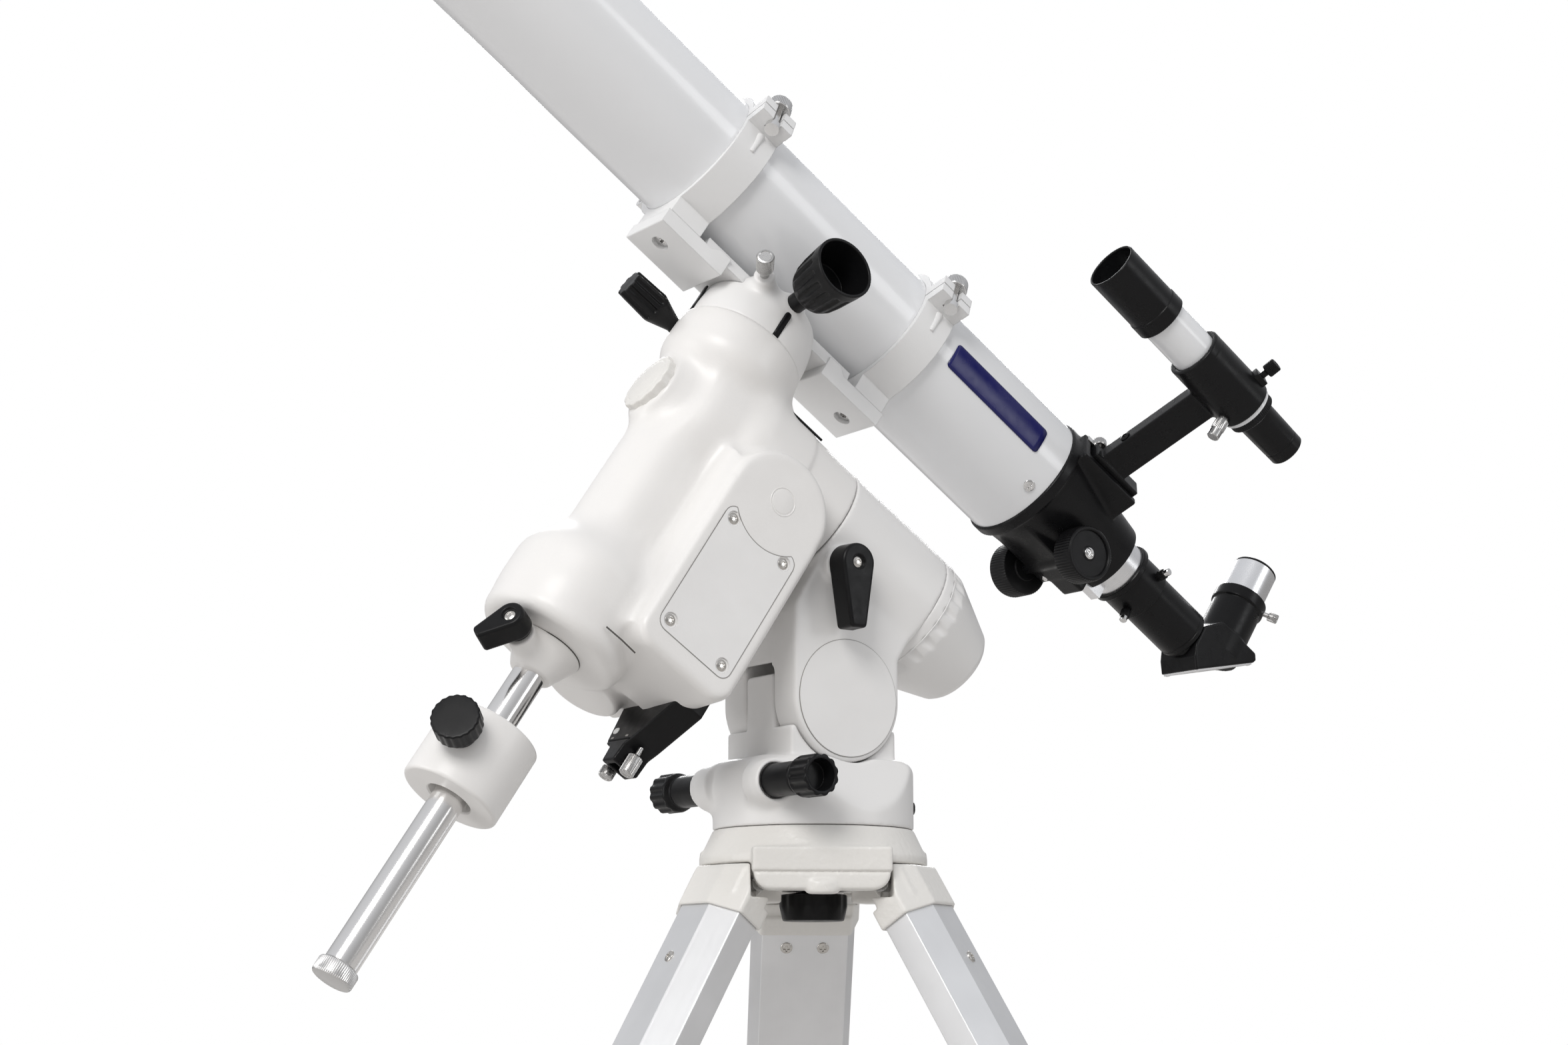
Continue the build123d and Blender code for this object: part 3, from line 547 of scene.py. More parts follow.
M = {}
WARM, COOL = (0.80, 0.787, 0.772), (0.80, 0.808, 0.822)
M["mount"] = paint("mount_white", WARM, 0.40, 620, 0.14, 0.0004, fine=0.05, coat=0.04)
M["mount_fine"] = paint("mount_white_fine", (0.79, 0.783, 0.775), 0.36, 900, 0.10, 0.0003, fine=0.06)
M["mount_cad"] = paint("mount_white_edge", (0.79, 0.783, 0.775), 0.36, 900, 0.10, 0.0003, fine=0.06, edge=0.0007)
M["ring"] = paint("ring_white", (0.80, 0.80, 0.80), 0.42, 1500, 0.18, 0.0003, fine=0.12, edge=0.0009)
M["tube"] = paint("tube_white", COOL, 0.20, 240, 0.02, 0.0002, coat=0.4, vary=0.01)
M["cream"] = paint("tripod_cream", (0.76, 0.745, 0.715), 0.34, 330, 0.35, 0.0008, fine=0.05)
M["cream_cad"] = paint("tripod_cream_edge", (0.76, 0.745, 0.715), 0.34, 330, 0.35, 0.0008, fine=0.05, edge=0.0008)
M["black"] = plastic("black_plastic", (0.006, 0.006, 0.0066), 0.34, spec=0.2)
M["black_cad"] = plastic("black_plastic_edge", (0.006, 0.006, 0.0066), 0.34, edge=0.0006, spec=0.2)
M["satin"] = plastic("black_satin", (0.006, 0.006, 0.0066), 0.30, 0.08, 3000, edge=0.0006, spec=0.2)
M["rubber"] = plastic("rubber", (0.03, 0.03, 0.03), 0.7, 0.3, 1500, edge=0.001)
M["gap"] = plastic("gap_shadow", (0.09, 0.085, 0.08), 0.8, 0.05)
# painted shade: dark grey for narrow gaps, grooves and slots, standing in for the shade inside them
M["seam"] = plastic("seam_grey", (0.28, 0.27, 0.26), 0.7, 0.05)
M["steel"] = metal("bar_steel", (0.87, 0.86, 0.85), 0.17, MOUNT.way((0, 0, 1)), 1800, 0.04)
M["steel_cad"] = metal("plain_steel", (0.5, 0.5, 0.5), 0.3, edge=0.0005)
M["bright"] = metal("bright_steel", (0.74, 0.735, 0.73), 0.16)
M["knurl"] = metal("knurled_steel", (0.52, 0.515, 0.51), 0.27)
M["cap_metal"] = metal("cap_metal", (0.66, 0.655, 0.65), 0.38)
M["screw"] = metal("screw_steel", (0.60, 0.58, 0.55), 0.22)
M["draw"] = metal("drawtube_metal", (0.80, 0.80, 0.81), 0.30, MOUNT.way((1, 0, 0)), 2500)
M["barrel"] = metal("eyepiece_metal", (0.86, 0.86, 0.87), 0.26, MOUNT.way((0, 0, 1)), 2500)
M["plate_grey"] = paint("diagonal_plate", (0.62, 0.62, 0.63), 0.4, 900, 0.05)
M["blue"] = plastic("label_blue", (0.010, 0.011, 0.105), 0.24, 0.01, 900, 0.03, spec=0.35)
M["lamp"] = plastic("lamp_white", (0.75, 0.75, 0.74), 0.3, 0.03, 900, 0.02)
for tag, fr in LEGF.items():
    M["leg_" + tag] = metal("leg_silver_" + tag, (0.80, 0.805, 0.815), 0.42, fr.way((1, 0, 0)), 1400, 0.10, edge=0.0006, metallic=0.8)
m, nt, b = new_mat("lens_glass")
b.inputs["Base Color"].default_value = (0.55, 0.75, 0.72, 1)
b.inputs["Transmission Weight"].default_value = 0.9
b.inputs["Roughness"].default_value = 0.02
b.inputs["IOR"].default_value = 1.5
bump(nt, b, noise(nt, coords(nt), 30, 1), 0.01, 0.0001)
M["glass"] = m

CAD_MATS = {
    "mount_cad": ["dec_housing", "bar_collar", "az_base", "ra_housing", "rear_cover", "alt_covers", "motor_cover", "saddle", "counterweight", "polar_cap"],
    "ring": ["tube_rings", "dovetail_plate"],
    "tube": ["main_tube", "dew_shield", "finder_tube"],
    "cream_cad": ["tripod_head"] + [f"leg_{p}_{t}" for p in ("casting", "collar") for t in LEGS],
    "black_cad": ["head_knob", "az_knob_front", "az_knob_rear", "ra_lever", "bar_lever", "dec_clamp_knob", "cw_knob", "saddle_knob", "wireless_module", "focus_knobs"] + [f"leg_lock_{t}" for t in LEGS],
    "satin": ["focuser_body", "adaptor", "diagonal", "finder_sleeve", "finder_fittings"],
    "rubber": [f"foot_{t}" for t in LEGS],
    "steel_cad": ["leg_hinge_pins", "alt_pin", "ra_shaft", "drive_motors"],
    "steel": ["cw_bar"],
    "bright": ["ring_bolts", "safety_screw", "bar_end_cap"],
    "barrel": ["eyepiece"],
    "draw": ["drawtube"],
    "glass": ["objective_lens"],
    "leg_n": ["leg_upper_n", "leg_lower_n"],
    "leg_ne": ["leg_upper_ne", "leg_lower_ne"],
    "leg_se": ["leg_upper_se", "leg_lower_se"],
}
for key, names in CAD_MATS.items():
    for n in names:
        NODES[n].data.materials.clear()
        NODES[n].data.materials.append(M[key])

# ------------------------------------------------------------------ turning polar body: column, barrel and drive box in one casting
def plate_outline():
    """Cover plate in s and t: a rounded rectangle bitten by the round head above it."""
    pts = corner_round([(-25.5, -147, 7), (-83.0, -147, 7), (-83.0, -54.5, 7), (-25.5, -54.5, 7)], 6)
    far = [p for p in pts if math.hypot(p[0] + 54, p[1] + 31) > 33.05]
    k = next(i for i, p in enumerate(far) if p[0] > -54 and p[1] > -100)
    bite = [(-54 + 33 * math.cos(math.radians(a)), -31 + 33 * math.sin(math.radians(a))) for a in np.linspace(226, 314, 40)]
    return far[:k] + bite + far[k:]


PLATE = plate_outline()
f = Field((-103, -64, -182), (49, 62, 63), 1.1)
s, w, t = f.xyz()
rt, rs = np.sqrt(s * s + w * w), np.sqrt(w * w + t * t)
body = capped(rt, t, 31.5, -150, 50)
low = np.maximum(capped(rt, t, 45.5, -178, -90, 8), capped(rt, t, 45.5, -220, -120, 16))
top = np.maximum(capped(rt, t, 41.6, 20, 59.7, 0.5), capped(rt, t, 41.6, 29, 100, 11))
body = smin(smin(body, low, 26), top, 22)
barrel = np.maximum(capped(rs, s, 45.5, -100.75, 30, 0.5), capped(rs, s, 45.5, -200, -14, 16))
nose = np.maximum(smax(rs - (44.5 - 12.5 * np.clip((s + 30) / 42, 0, 1)), s - 11, 10), -60 - s)
barrel = smin(smin(barrel, nose, 6), capped(rs, s, 20.6, -10, 34, 1.0), 7)
body = smin(body, barrel, 14)
rect = polygon(s, t, [(-31.5, -1), (-31.5, -147), (-78, -147), (-78, -1)]) - 13
head = np.minimum(np.sqrt((s + 54.7) ** 2 + (t + 37) ** 2) - 36.4, t + 37)
box = extruded(smax(rect, head, 2) + np.clip(w - 58.45, -60, 0) * 0.07, w, -10, 58.45, 4.2)
shoulder = extruded(polygon(s, t, [(-15.5, -20), (-15.5, -153), (-60, -153), (-60, -20)]) + np.clip(w - 50, -60, 0) * 0.16, w, -10, 50, 6)
body = smin(smin(body, shoulder, 10), box, 5.5)
body = smin(body, capped(np.sqrt((s + 47) ** 2 + (w + 36) ** 2), t, 25, -170, -70, 3), 8)
body = smin(body, block(f, -84, -22, -59, 4, -160.5, -90, 4), 6)
cover = np.maximum(polygon(s, t, corner_round([(-25.5, -147, 7), (-83.0, -147, 7), (-83.0, -54.5, 7), (-25.5, -54.5, 7)], 4)), 33 - np.sqrt((s + 54) ** 2 + (t + 31) ** 2))
body = np.maximum(body, -extruded(cover + 1.6, w, 54, 70))
piece(cast("dec_casting", f, body, MOUNT), "ra_body", "mount", "mount_white", "dec_housing")

# round the cover plate a thin dark line of painted shade standing in for its groove; above it the closed opening; x =
# -s, y = t, z = w
FRONT = MOUNT.sub((0, 0, 0), (0, 1, 0), (-1, 0, 0))
piece(ribbon("cover_gap", [(-a, b) for a, b in PLATE], FRONT, 57.2, 58.63, 0.55, side=-1), "ra_body", "seam", "mount_white")
ring = [(54 + 8.5 * math.cos(a), -31 + 8.5 * math.sin(a)) for a in np.linspace(0, 2 * math.pi, 64, endpoint=False)]
piece(lathe("opening_plug", [(0, 58.2), (0, 58.62), (7.2, 58.62)] + arc(7.2, 58.02, 0.6, 90, 0, 4) + [(7.8, 57.5)], FRONT.sub((54, -31, 0), (0, 0, 1)), 72), "ra_body", "mount", "mount_white")
piece(lathe("opening_ring", [(8.3, 57.5), (8.3, 58.5), (8.55, 58.72), (8.9, 58.72), (9.2, 58.4), (9.2, 57.5)], FRONT.sub((54, -31, 0), (0, 0, 1)), 72), "ra_body", "mount", "mount_white")
piece(ribbon("box_parting", [(6, 47.5), (18, 47.7), (30, 46.4)], MOUNT.sub((0, 0, -165.2), (0, 0, -1), (-1, 0, 0)), -1.2, -0.3, 0.4, closed=False), "ra_body", "gap", "mount_white")

# ------------------------------------------------------------------ fixed polar housing with its two cheeks, in the seam frame
f = Field((-46, -48, 37), (93, 48, 232), 1.1)
x, y, z = f.xyz()
s, t = -(x - AXES_X) * C + (z - AXES_Z) * S, (x - AXES_X) * S + (z - AXES_Z) * C
rs = np.sqrt(y * y + t * t)
body = capped(rs, s, 45.5, -185, -101.25, 0.5)


def at(a, b):
    return (AXES_X - a * C + b * S, AXES_Z + a * S + b * C)


outline = corner_round([(ALT_X - 39, ALT_Z, 0), (ALT_X - 39, 133, 18), (*at(-102.0, -4), 0), (*at(-184, -4), 0), (ALT_X + 39, 104, 4), (ALT_X + 39, ALT_Z, 0)])
d2 = np.minimum(polygon(x, z, outline), np.sqrt((x - ALT_X) ** 2 + (z - ALT_Z) ** 2) - 39)
cheek = extruded(d2, np.abs(y), 15.4, 40.0, 2.6)
body = smin(body, cheek, 7)
bridge = np.maximum(extruded(polygon(x, z, outline), y, -17, 17), 43.5 - np.sqrt((x - ALT_X) ** 2 + (z - ALT_Z) ** 2))
body = smin(body, bridge, 1.5)
body = smin(body, rod(f, (*at(-115.4, -28)[:1], -25, at(-115.4, -28)[1]), (at(-115.4, -28)[0], -46, at(-115.4, -28)[1]), 11.5, rd=1.0), 4)
body = np.maximum(body, s + 101.25)
piece(cast("polar_casting", f, body, SEAM), "polar", "mount_fine", "mount_white", "ra_housing")
for k, tag in ((-1, "front"), (1, "rear")):
    fr = SEAM.sub((ALT_X, 0, ALT_Z), (0, k, 0))
    # painted shade: dark ring standing in for the shaded gap round the pivot
    piece(lathe("pivot_gap_" + tag, [(35.7, 39.5), (35.7, 40.25), (36.25, 40.25), (36.25, 39.5)], fr, 160), "polar", "seam", "mount_white")

# rear cover: finger scallops round its rim
RA = MOUNT.sub((0, 0, 0), (1, 0, 0), (0, 0, 1))
f = Field((-47, -47, -248), (47, 47, -184), 0.9)
x, y, z = f.xyz()
r, a = polar(x, y)
prof = [(-30, -185.2), (45.2, -185.2), (45.2, -192), (44.2, -202), (28.5, -241.5), (23.5, -246.5), (-30, -246.5)]
body = polygon(r, z, [(p[0] - (1.2 if p[0] > 0 else 0), p[1] + (1.2 if p[1] < -240 else (-1.2 if p[1] > -186 else 0))) for p in prof]) - 1.2
body = smax(body, -(z + 246.5) - 0 * r, 3)
g = repeat(a, 24)
cx, cy = r * np.cos(g), r * np.sin(g)
cut = np.sqrt((cx - 47.6) ** 2 + cy ** 2 + np.maximum(z + 195.5, 0) ** 2) - 4.3
body = smax(body, -cut, 0.6)
piece(cast("rear_cover_shell", f, body, RA), "polar", "mount_fine", "mount_white", "rear_cover")
piece(lathe("rear_cover_line", [(45.25, -193.2), (45.45, -193.0), (45.45, -192.5), (45.25, -192.3)], RA, 160), "polar", "mount_fine", "mount_white")

# ------------------------------------------------------------------ azimuth base, seam frame
f = Field((-76, -65, -1.5), (65, 65, 97), 1.1)
x, y, z = f.xyz()
r = np.sqrt(x * x + y * y)
body = np.maximum(capped(r, z, 62, 0.3, 90, 0.8), capped(r, z, 62, -40, 42, 8))
for k in (-1, 1):
    boss = smin(rod(f, (-41, k * 13, 25), (-54, k * 36, 26), 19, 13.0), rod(f, (-54, k * 20, 26), (-54, k * 38, 26), 13, rd=1.2), 4)
    body = smin(body, smax(boss, 0.3 - z, 1.0), 5)
body = smin(body, block(f, -40.5, 37.5, -36, 36, 30, 61, 2.2), 2.5)
body = smin(body, block(f, -40.5, 37.5, -14.8, 14.8, 40, 94, 3), 1.5)
far = np.sqrt((x - ALT_X) ** 2 + (z - ALT_Z) ** 2)
body = smax(body, -extruded(far - 39.9, np.abs(y), 14.8, 90), 1.0)
n1 = (32 * (np.abs(y) - 62.5) + 17 * (z - 9)) / math.hypot(32, 17)
scoop = np.maximum(np.maximum(-n1, np.abs(x - 4.5) - 42), 42.5 - np.abs(y))
body = smax(body, -scoop, 1.2)
for k in (-1, 1):
    body = smax(body, -rod(f, (-54, k * 32, 26), (-54, k * 45, 26), 10.8), 0.6)
piece(cast("base_casting", f, body, SEAM), "azimuth", "mount_fine", "mount_white", "az_base")

# ------------------------------------------------------------------ tripod head, seam frame
f = Field((-76, -84, -47), (76, 76, 1.2), 1.0)
x, y, z = f.xyz()
r = np.sqrt(x * x + y * y)
body = polygon(r, z, [(-30, -21.0), (69.0, -21.0), (69.0, -17.4), (61.2, -1.0), (-30, -1.0)]) - 1.0
body = np.maximum(body, -np.maximum(68.4 + 0.5 * x + 0.866 * y, z + 12.9))
body = smin(body, capped(r, z, 36, -37, -18, 2.5), 2)
for a in (0, 120, 240):
    ca, sa = math.cos(math.radians(a)), math.sin(math.radians(a))
    rad, tan = x * ca + y * sa, -x * sa + y * ca
    k = 6.7 if a == 240 else 0.0
    band = boxd(rad - 53 - k, tan, z + 20.5, (9, 41.5, 7.5), 1.0)
    apron = extruded(polygon(tan, z, corner_round([(-41, -24, 0), (-40.2, -38.8, 10), (40.2, -38.8, 10), (41, -24, 0)])), rad, 46, 61.5 + k, 2.2)
    lug = smax(extruded(np.sqrt((rad - 57 - k) ** 2 * (10 / 7.5) ** 2 + tan ** 2) - 10, z, -41, -33, 2.5), rad - 64.2 - k, 1)
    web = boxd(rad - 38 - k / 2, tan, z + 28, (18 + k / 2, 20, 8), 1.0)
    side = smin(np.minimum(band, apron + 0.25), lug, 2)
    side = smin(side, web, 2)
    if a != 240:
        side = smax(side, r - 69.8, 1.0)
    side = np.maximum(side, -boxd(rad - 65 - k, tan, z + 28.2, (5, 60, 0.55), 0))
    body = smin(body, side, 1.0)
for a in (60, 180, 300):
    ca, sa = math.cos(math.radians(a)), math.sin(math.radians(a))
    rad, tan = x * ca + y * sa, -x * sa + y * ca
    arm = np.minimum(boxd(rad - 43, tan, z + 32.5, (13, 10.5, 12.5), 1), capped(np.sqrt((rad - 56) ** 2 + (z + 34) ** 2), tan, 11, -10.5, 10.5, 1))
    body = smin(body, arm, 2)
body = np.maximum(body, 5.4 - r)
piece(cast("head_casting", f, body, SEAM), "tripod", "cream", "tripod_cream", "tripod_head")

# leg castings, each in its leg's frame: x across, y outwards, z up along the leg
LEG_SEC = [(-27.4, -9.95), (27.4, -9.95), (33.6, 8.45), (15.0, 19.35), (-15.0, 19.35), (-33.6, 8.45)]
f = Field((-39, -15, -29), (39, 25, 17), 0.9)
x, y, z = f.xyz()
d2 = polygon(x, y, LEG_SEC)
sleeve = extruded(d2 - 2.3, z, -26, 8, 1.0)
sleeve = np.maximum(sleeve, -boxd(x, y + 22.5, z - 0.5, (45, 15, 13.5), 0))
for k in (-1, 1):
    ear = np.minimum(block(f, k * 11.3, k * 27, -9, 16, -16, 2, 1.0), capped(np.sqrt(y * y + z * z), k * x, 10, 11.3, 27, 1.0))
    sleeve = smin(sleeve, ear, 2)
sleeve = np.maximum(sleeve, -block(f, -11.2, 11.2, -20, 14, -14, 20))
sleeve = np.maximum(sleeve, -(np.maximum(d2 - 0.1, z + 21.2)))
for tag, fr in LEGF.items():
    m = fr.m
    gx = fr.o[0] + x * m[0][0] + y * m[1][0] + z * m[2][0]
    gy = fr.o[1] + x * m[0][1] + y * m[1][1] + z * m[2][1]
    gz = fr.o[2] - SEAM_H + x * m[0][2] + y * m[1][2] + z * m[2][2]
    body = smax(sleeve, gz + 22.7, 1.6)
    for a in (0, 120, 240):
        ca, sa = math.cos(math.radians(a)), math.sin(math.radians(a))
        rad, tan = gx * ca + gy * sa, -gx * sa + gy * ca
        k = 3.4 if a == 240 else 0.0
        body = smax(body, -boxd(rad - 49.5 - k, tan, gz + 26, (13.5 + k, 42.2, 16.5), 0), 1.2)
    piece(cast("leg_top_" + tag, f, body, fr), "leg_" + tag, "cream", "tripod_cream", "leg_casting_" + tag)

# ------------------------------------------------------------------ saddle
KD = np.array((0.085, 0.973, 0.216)) / np.linalg.norm((0.085, 0.973, 0.216))
KP, SDD, SPP = np.array((0, 35, 90.5)), np.array((0.6, 0.8, 0)), np.array((25, 33.3, 91.5))
f = Field((-44, -44, 59), (44, 46, 99), 0.9)
s, w, t = f.xyz()
rt = np.sqrt(s * s + w * w)
body = np.maximum(capped(rt, t, 41.6, 60.3, 120, 0.5), smax(smax(rt - 41.6, (rt - 41.6) * 0.93 + (t - 79) * 0.37, 6), t - 96, 6))
body = smin(body, rod(f, (0, 20, 87), tuple(KP + KD * 1.5), 11, 7.2, 0.8), 5)
body = smin(body, rod(f, (12, 16, 91), tuple(SPP + SDD * 3.2), 8, 6.6, 0.6), 6)
slot = polygon(w, t, [(-18.4, 130), (18.4, 130), (18.4, 97.5), (21.5, 85.7), (-21.5, 85.7), (-18.4, 97.5)])
body = smax(body, -slot, 0.6)
body = np.maximum(body, t - 96.2)
piece(cast("saddle_casting", f, body, MOUNT), "tube", "mount_fine", "mount_white", "saddle")
# index marks: black strips let into the rim
DECF = MOUNT.sub((0, 0, 0), (0, 0, 1), (1, 0, 0))
for tag, deg in (("a", 88), ("b", -2)):
    o = corner_round([(61.0, deg - 3.0, 0), (61.0, deg + 3.0, 0), (80.5, deg + 3.0, 2.2), (80.5, deg - 3.0, 2.2)], 5)
    piece(wrap("index_mark_" + tag, o, 41.6, DECF, 0.35), "tube", "black", "black_plastic")

# ------------------------------------------------------------------ bar collar, bar, weight
BA = math.radians(33)
B3 = np.array((math.cos(BA), math.sin(BA), 0))
f = Field((-25, -25, -199.5), (34, 32, -176), 0.7)
s, w, t = f.xyz()
rt = np.sqrt(s * s + w * w)
body = polygon(rt, t, [(-20, -196.3), (12.4, -196.3), (21.0, -179.2), (21.0, -177.2), (-20, -177.2)]) - 1.2
body = smin(body, rod(f, tuple(B3 * 2 + (0, 0, -188.0)), tuple(B3 * 29 + (0, 0, -188.5)), 10.5, 8.5, 1.0), 6)
body = np.maximum(body, t + 178.15)
piece(cast("collar_casting", f, body, MOUNT), "ra_body", "mount", "mount_white", "bar_collar")
piece(lathe("collar_gap", [(19, -178.7), (22.3, -178.7), (22.3, -177.9), (19, -177.9), (19, -178.7)], DECF, 96), "ra_body", "gap", "mount_white")
piece(lathe("bar", [(0, -399), (9.4, -399), (10, -398.4), (10, -104.6), (9.4, -104), (0, -104)], DECF, 160), "cw_bar", "steel", "steel", "cw_bar")
piece(lathe("bar_end", [(0, -409)] + [(10.6, -409), (11.6, -408.6), (12.2, -407.8), (12.35, -407), (12.35, -400.6), (11.9, -399.7), (10.5, -399.3), (0, -399.3)], DECF, ribs=64, depth=0.35, band=(-407.9, -400.5)), "bar_end_cap", "cap_metal", "steel", "bar_end_cap")
prof = [(10.2, -278), (13.8, -278), (13.8, -286.2), (14.6, -287)] + arc(27.8, -284.8, 2.2, -90, 0) + arc(27.8, -241.2, 2.2, 0, 90) + [(14.6, -239), (13.8, -239.8), (13.8, -248), (10.2, -248)]
piece(lathe("weight", prof, DECF, 160), "counterweight", "mount", "mount_white", "counterweight")

# ------------------------------------------------------------------ black knobs and levers
def capsule2(x, y, r0, r1, d):
    """Flat teardrop: circle r0 at the origin, r1 at (0, -d)."""
    x, y = np.abs(x), -y
    b = (r0 - r1) / d
    a = math.sqrt(1 - b * b)
    k = -b * x + a * y
    out = x * a + y * b - r0
    out = np.where(k < 0, np.sqrt(x * x + y * y) - r0, out)
    return np.where(k > a * d, np.sqrt(x * x + (y - d) ** 2) - r1, out)


def lever(name, fr, r0, r1, d, h, body, node, hub):
    f = Field((-r0 - 1.5, -d - r1 - 1.5, -2.8), (r0 + 1.5, r0 + 1.5, h + 1.2), 0.5)
    x, y, z = f.xyz()
    d2 = capsule2(x, y, r0, r1, d) + z * 0.045
    d2 = smax(d2, -y - (d + r1 * 0.55), 1.5)
    shape = extruded(d2, z, 0, h, 1.9)
    shape = smin(shape, capped(np.sqrt(x * x + y * y), z, hub, -1.7, 4, 0.4), 0.6)
    shape = smax(shape, -capped(np.sqrt(x * x + y * y), z, 4.3, h - 1.6, h + 5), 0.5)
    piece(cast(name, f, shape, fr), body, "black", "black_plastic", node)


LEV = MOUNT.sub((-115.4, 48.1, -28), (0, 1, 0), (-C, 0, S))
lever("polar_lever", LEV, 12.4, 6.8, 36.5, 15.5, "ra_lever", "ra_lever", 10.5)
BLV = MOUNT.sub(tuple(B3 * 33 + (0, 0, -188.5)), tuple(B3), (-B3[1] * math.cos(math.radians(38)), B3[0] * math.cos(math.radians(38)), -math.sin(math.radians(38))))
lever("collar_lever", BLV, 9.2, 5.0, 19.5, 15.0, "bar_lever", "bar_lever", 8.0)

# clamp knob of the saddle: fluted cup on a thin neck
KNB = MOUNT.sub(tuple(KP), tuple(KD))
f = Field((-22, -22, -3), (22, 22, 56), 0.55)
x, y, z = f.xyz()
r, a = polar(x, y)
body = polygon(r, z, [(-9, -2), (4.0, -2), (4.0, 2), (5.9, 2), (5.9, 12), (7.0, 14), (11.6, 17.5), (15.1, 21), (16.8, 25), (18.3, 34), (19.5, 48), (19.7, 53.4), (-9, 53.4)]) - 0.45
g = repeat(a, 16)
gx, gy = r * np.cos(g), r * np.sin(g)
cut = np.sqrt((gx - 18.0 - (z - 21) * 0.111) ** 2 + gy ** 2 + np.maximum(z - 45.0, 0) ** 2) - 2.4
body = smax(body, -cut, 0.4)
body = smax(body, -polygon(r, z, [(-9, 31), (14.8, 31), (18.5, 55.5), (-9, 55.5)]), 0.5)
piece(cast("saddle_clamp", f, body, KNB), "saddle_knob", "black", "black_plastic", "saddle_knob")

# fluted knob beside the column
CLK = MOUNT.sub((25, -15, 51.0), (1, 0, 0))
f = Field((-12, -12, -1), (12, 12, 57.5), 0.45)
x, y, z = f.xyz()
r, a = polar(x, y)
body = polygon(r, z, [(-8, -0.5), (4.4, -0.5), (4.4, 17), (9.0, 30.5), (9.6, 33), (8.8, 55.0), (-8, 55.0)]) - 0.7
g = repeat(a, 9)
cut = np.sqrt((r * np.cos(g) - 10.5 + (z - 33) * 0.03) ** 2 + (r * np.sin(g)) ** 2 + np.maximum(34.0 - z, 0) ** 2) - 1.9
body = smax(body, -cut, 0.35)
piece(cast("column_knob", f, body, CLK), "dec_clamp_knob", "black", "black_plastic", "dec_clamp_knob")

# azimuth push knobs
for k, tag in ((-1, "front"), (1, "rear")):
    fr = SEAM.sub((-54, k * 20.5, 26), (0, k, 0))
    f = Field((-14, -14, 15), (14, 14, 67), 0.5)
    x, y, z = f.xyz()
    r, a = polar(x, y)
    body = polygon(r, z, [(-9, 17), (9.6, 17), (9.6, 43.5), (9.2, 44.5), (9.2, 46.0), (11.6, 48.5), (12.1, 50), (12.1, 65), (11.6, 65.5), (-9, 65.5)]) - 0.5
    g = repeat(a, 12)
    cut = np.sqrt((r * np.cos(g) - 14.0) ** 2 + (r * np.sin(g)) ** 2 + np.maximum(51.5 - z, 0) ** 2) - 2.5
    body = smax(body, -cut, 0.7)
    body = smax(body, -polygon(r, z, [(-9, 56), (8.6, 56), (9.6, 67), (-9, 67)]), 0.5)
    piece(cast("push_knob_" + tag, f, body, fr), "az_knob_" + tag, "black", "black_plastic", "az_knob_" + tag)

# weight clamp knob
KA = math.radians(44)
K3 = (math.cos(KA), math.sin(KA), 0)
CWK = MOUNT.sub((0, 0, -260), K3)
f = Field((-16, -16, 29), (16, 16, 54), 0.5)
x, y, z = f.xyz()
r, a = polar(x, y)
body = polygon(r, z, [(-9, 30.5), (8.4, 30.5), (9.4, 34.5), (12.6, 38.2), (13.6, 39.5), (13.6, 50.0), (-9, 50.0)]) - 0.6
body = smax(body, np.sqrt(r * r + (z + 30) ** 2) - 82.3, 1.6)
g = repeat(a, 20)
cut = np.sqrt((r * np.cos(g) - 15.6) ** 2 + (r * np.sin(g)) ** 2) - 1.9
body = smax(body, -cut, 0.6)
piece(cast("weight_knob", f, body, CWK), "cw_knob", "black", "black_plastic", "cw_knob")

# knob under the tripod head
f = Field((-23, -23, -57), (23, 23, -36), 0.6)
x, y, z = f.xyz()
r, a = polar(x, y)
body = polygon(r, z, [(-9, -54), (18, -54), (20, -46), (20, -40), (8, -38.4), (-9, -38.4)]) - 1.0
g = repeat(a, 12)
body = smax(body, -(np.sqrt((r * np.cos(g) - 26.0) ** 2 + (r * np.sin(g)) ** 2) - 6.0), 1.0)
piece(cast("head_clamp", f, body, SEAM), "head_knob", "black", "black_plastic", "head_knob")
piece(lathe("head_bolt", [(0, -38.5), (5, -38.5), (5, 23), (4.2, 24), (0, 24)], SEAM, 48), "head_knob", "steel_cad", "steel")

# ------------------------------------------------------------------ polar cap: wavy rim, domed face
f = Field((-22, -22, 33), (22, 22, 43), 0.5)
x, y, z = f.xyz()
r, a = polar(x, y)
wave = 0.45 * np.cos(14 * a)
body = smax(capped(r + 0.45 - wave, z, 20.2, 34.3, 60, 0.3), np.sqrt(r * r + (z + 70) ** 2) - 112.0, 1.0)
body = smax(body, -(np.abs(r - 15.8) - 0.35 + np.abs(z - 41.2) * 0.4), 0.4)
piece(cast("cap_shell", f, body, RA), "polar_cap", "cream", "mount_white", "polar_cap")

# ------------------------------------------------------------------ small turned and threaded parts
def thumbscrew(name, fr, z0, z1, r, body, stem=0.0, ribs=36):
    """Knurled head from z0 to z1, with a stem reaching back below z0."""
    c = min(0.8, r * 0.16)
    prof = [(0, z0 - stem)] + ([(1.7, z0 - stem), (1.7, z0)] if stem else []) + [(r - c, z0), (r, z0 + c), (r, z1 - c), (r - c, z1), (r * 0.62, z1), (r * 0.55, z1 - 0.35), (0, z1 - 0.35)]
    return piece(lathe(name, prof, fr, ribs=ribs, depth=0.32, band=(z0 + c * 0.9, z1 - c * 0.9)), body, "knurl", "bright_steel")


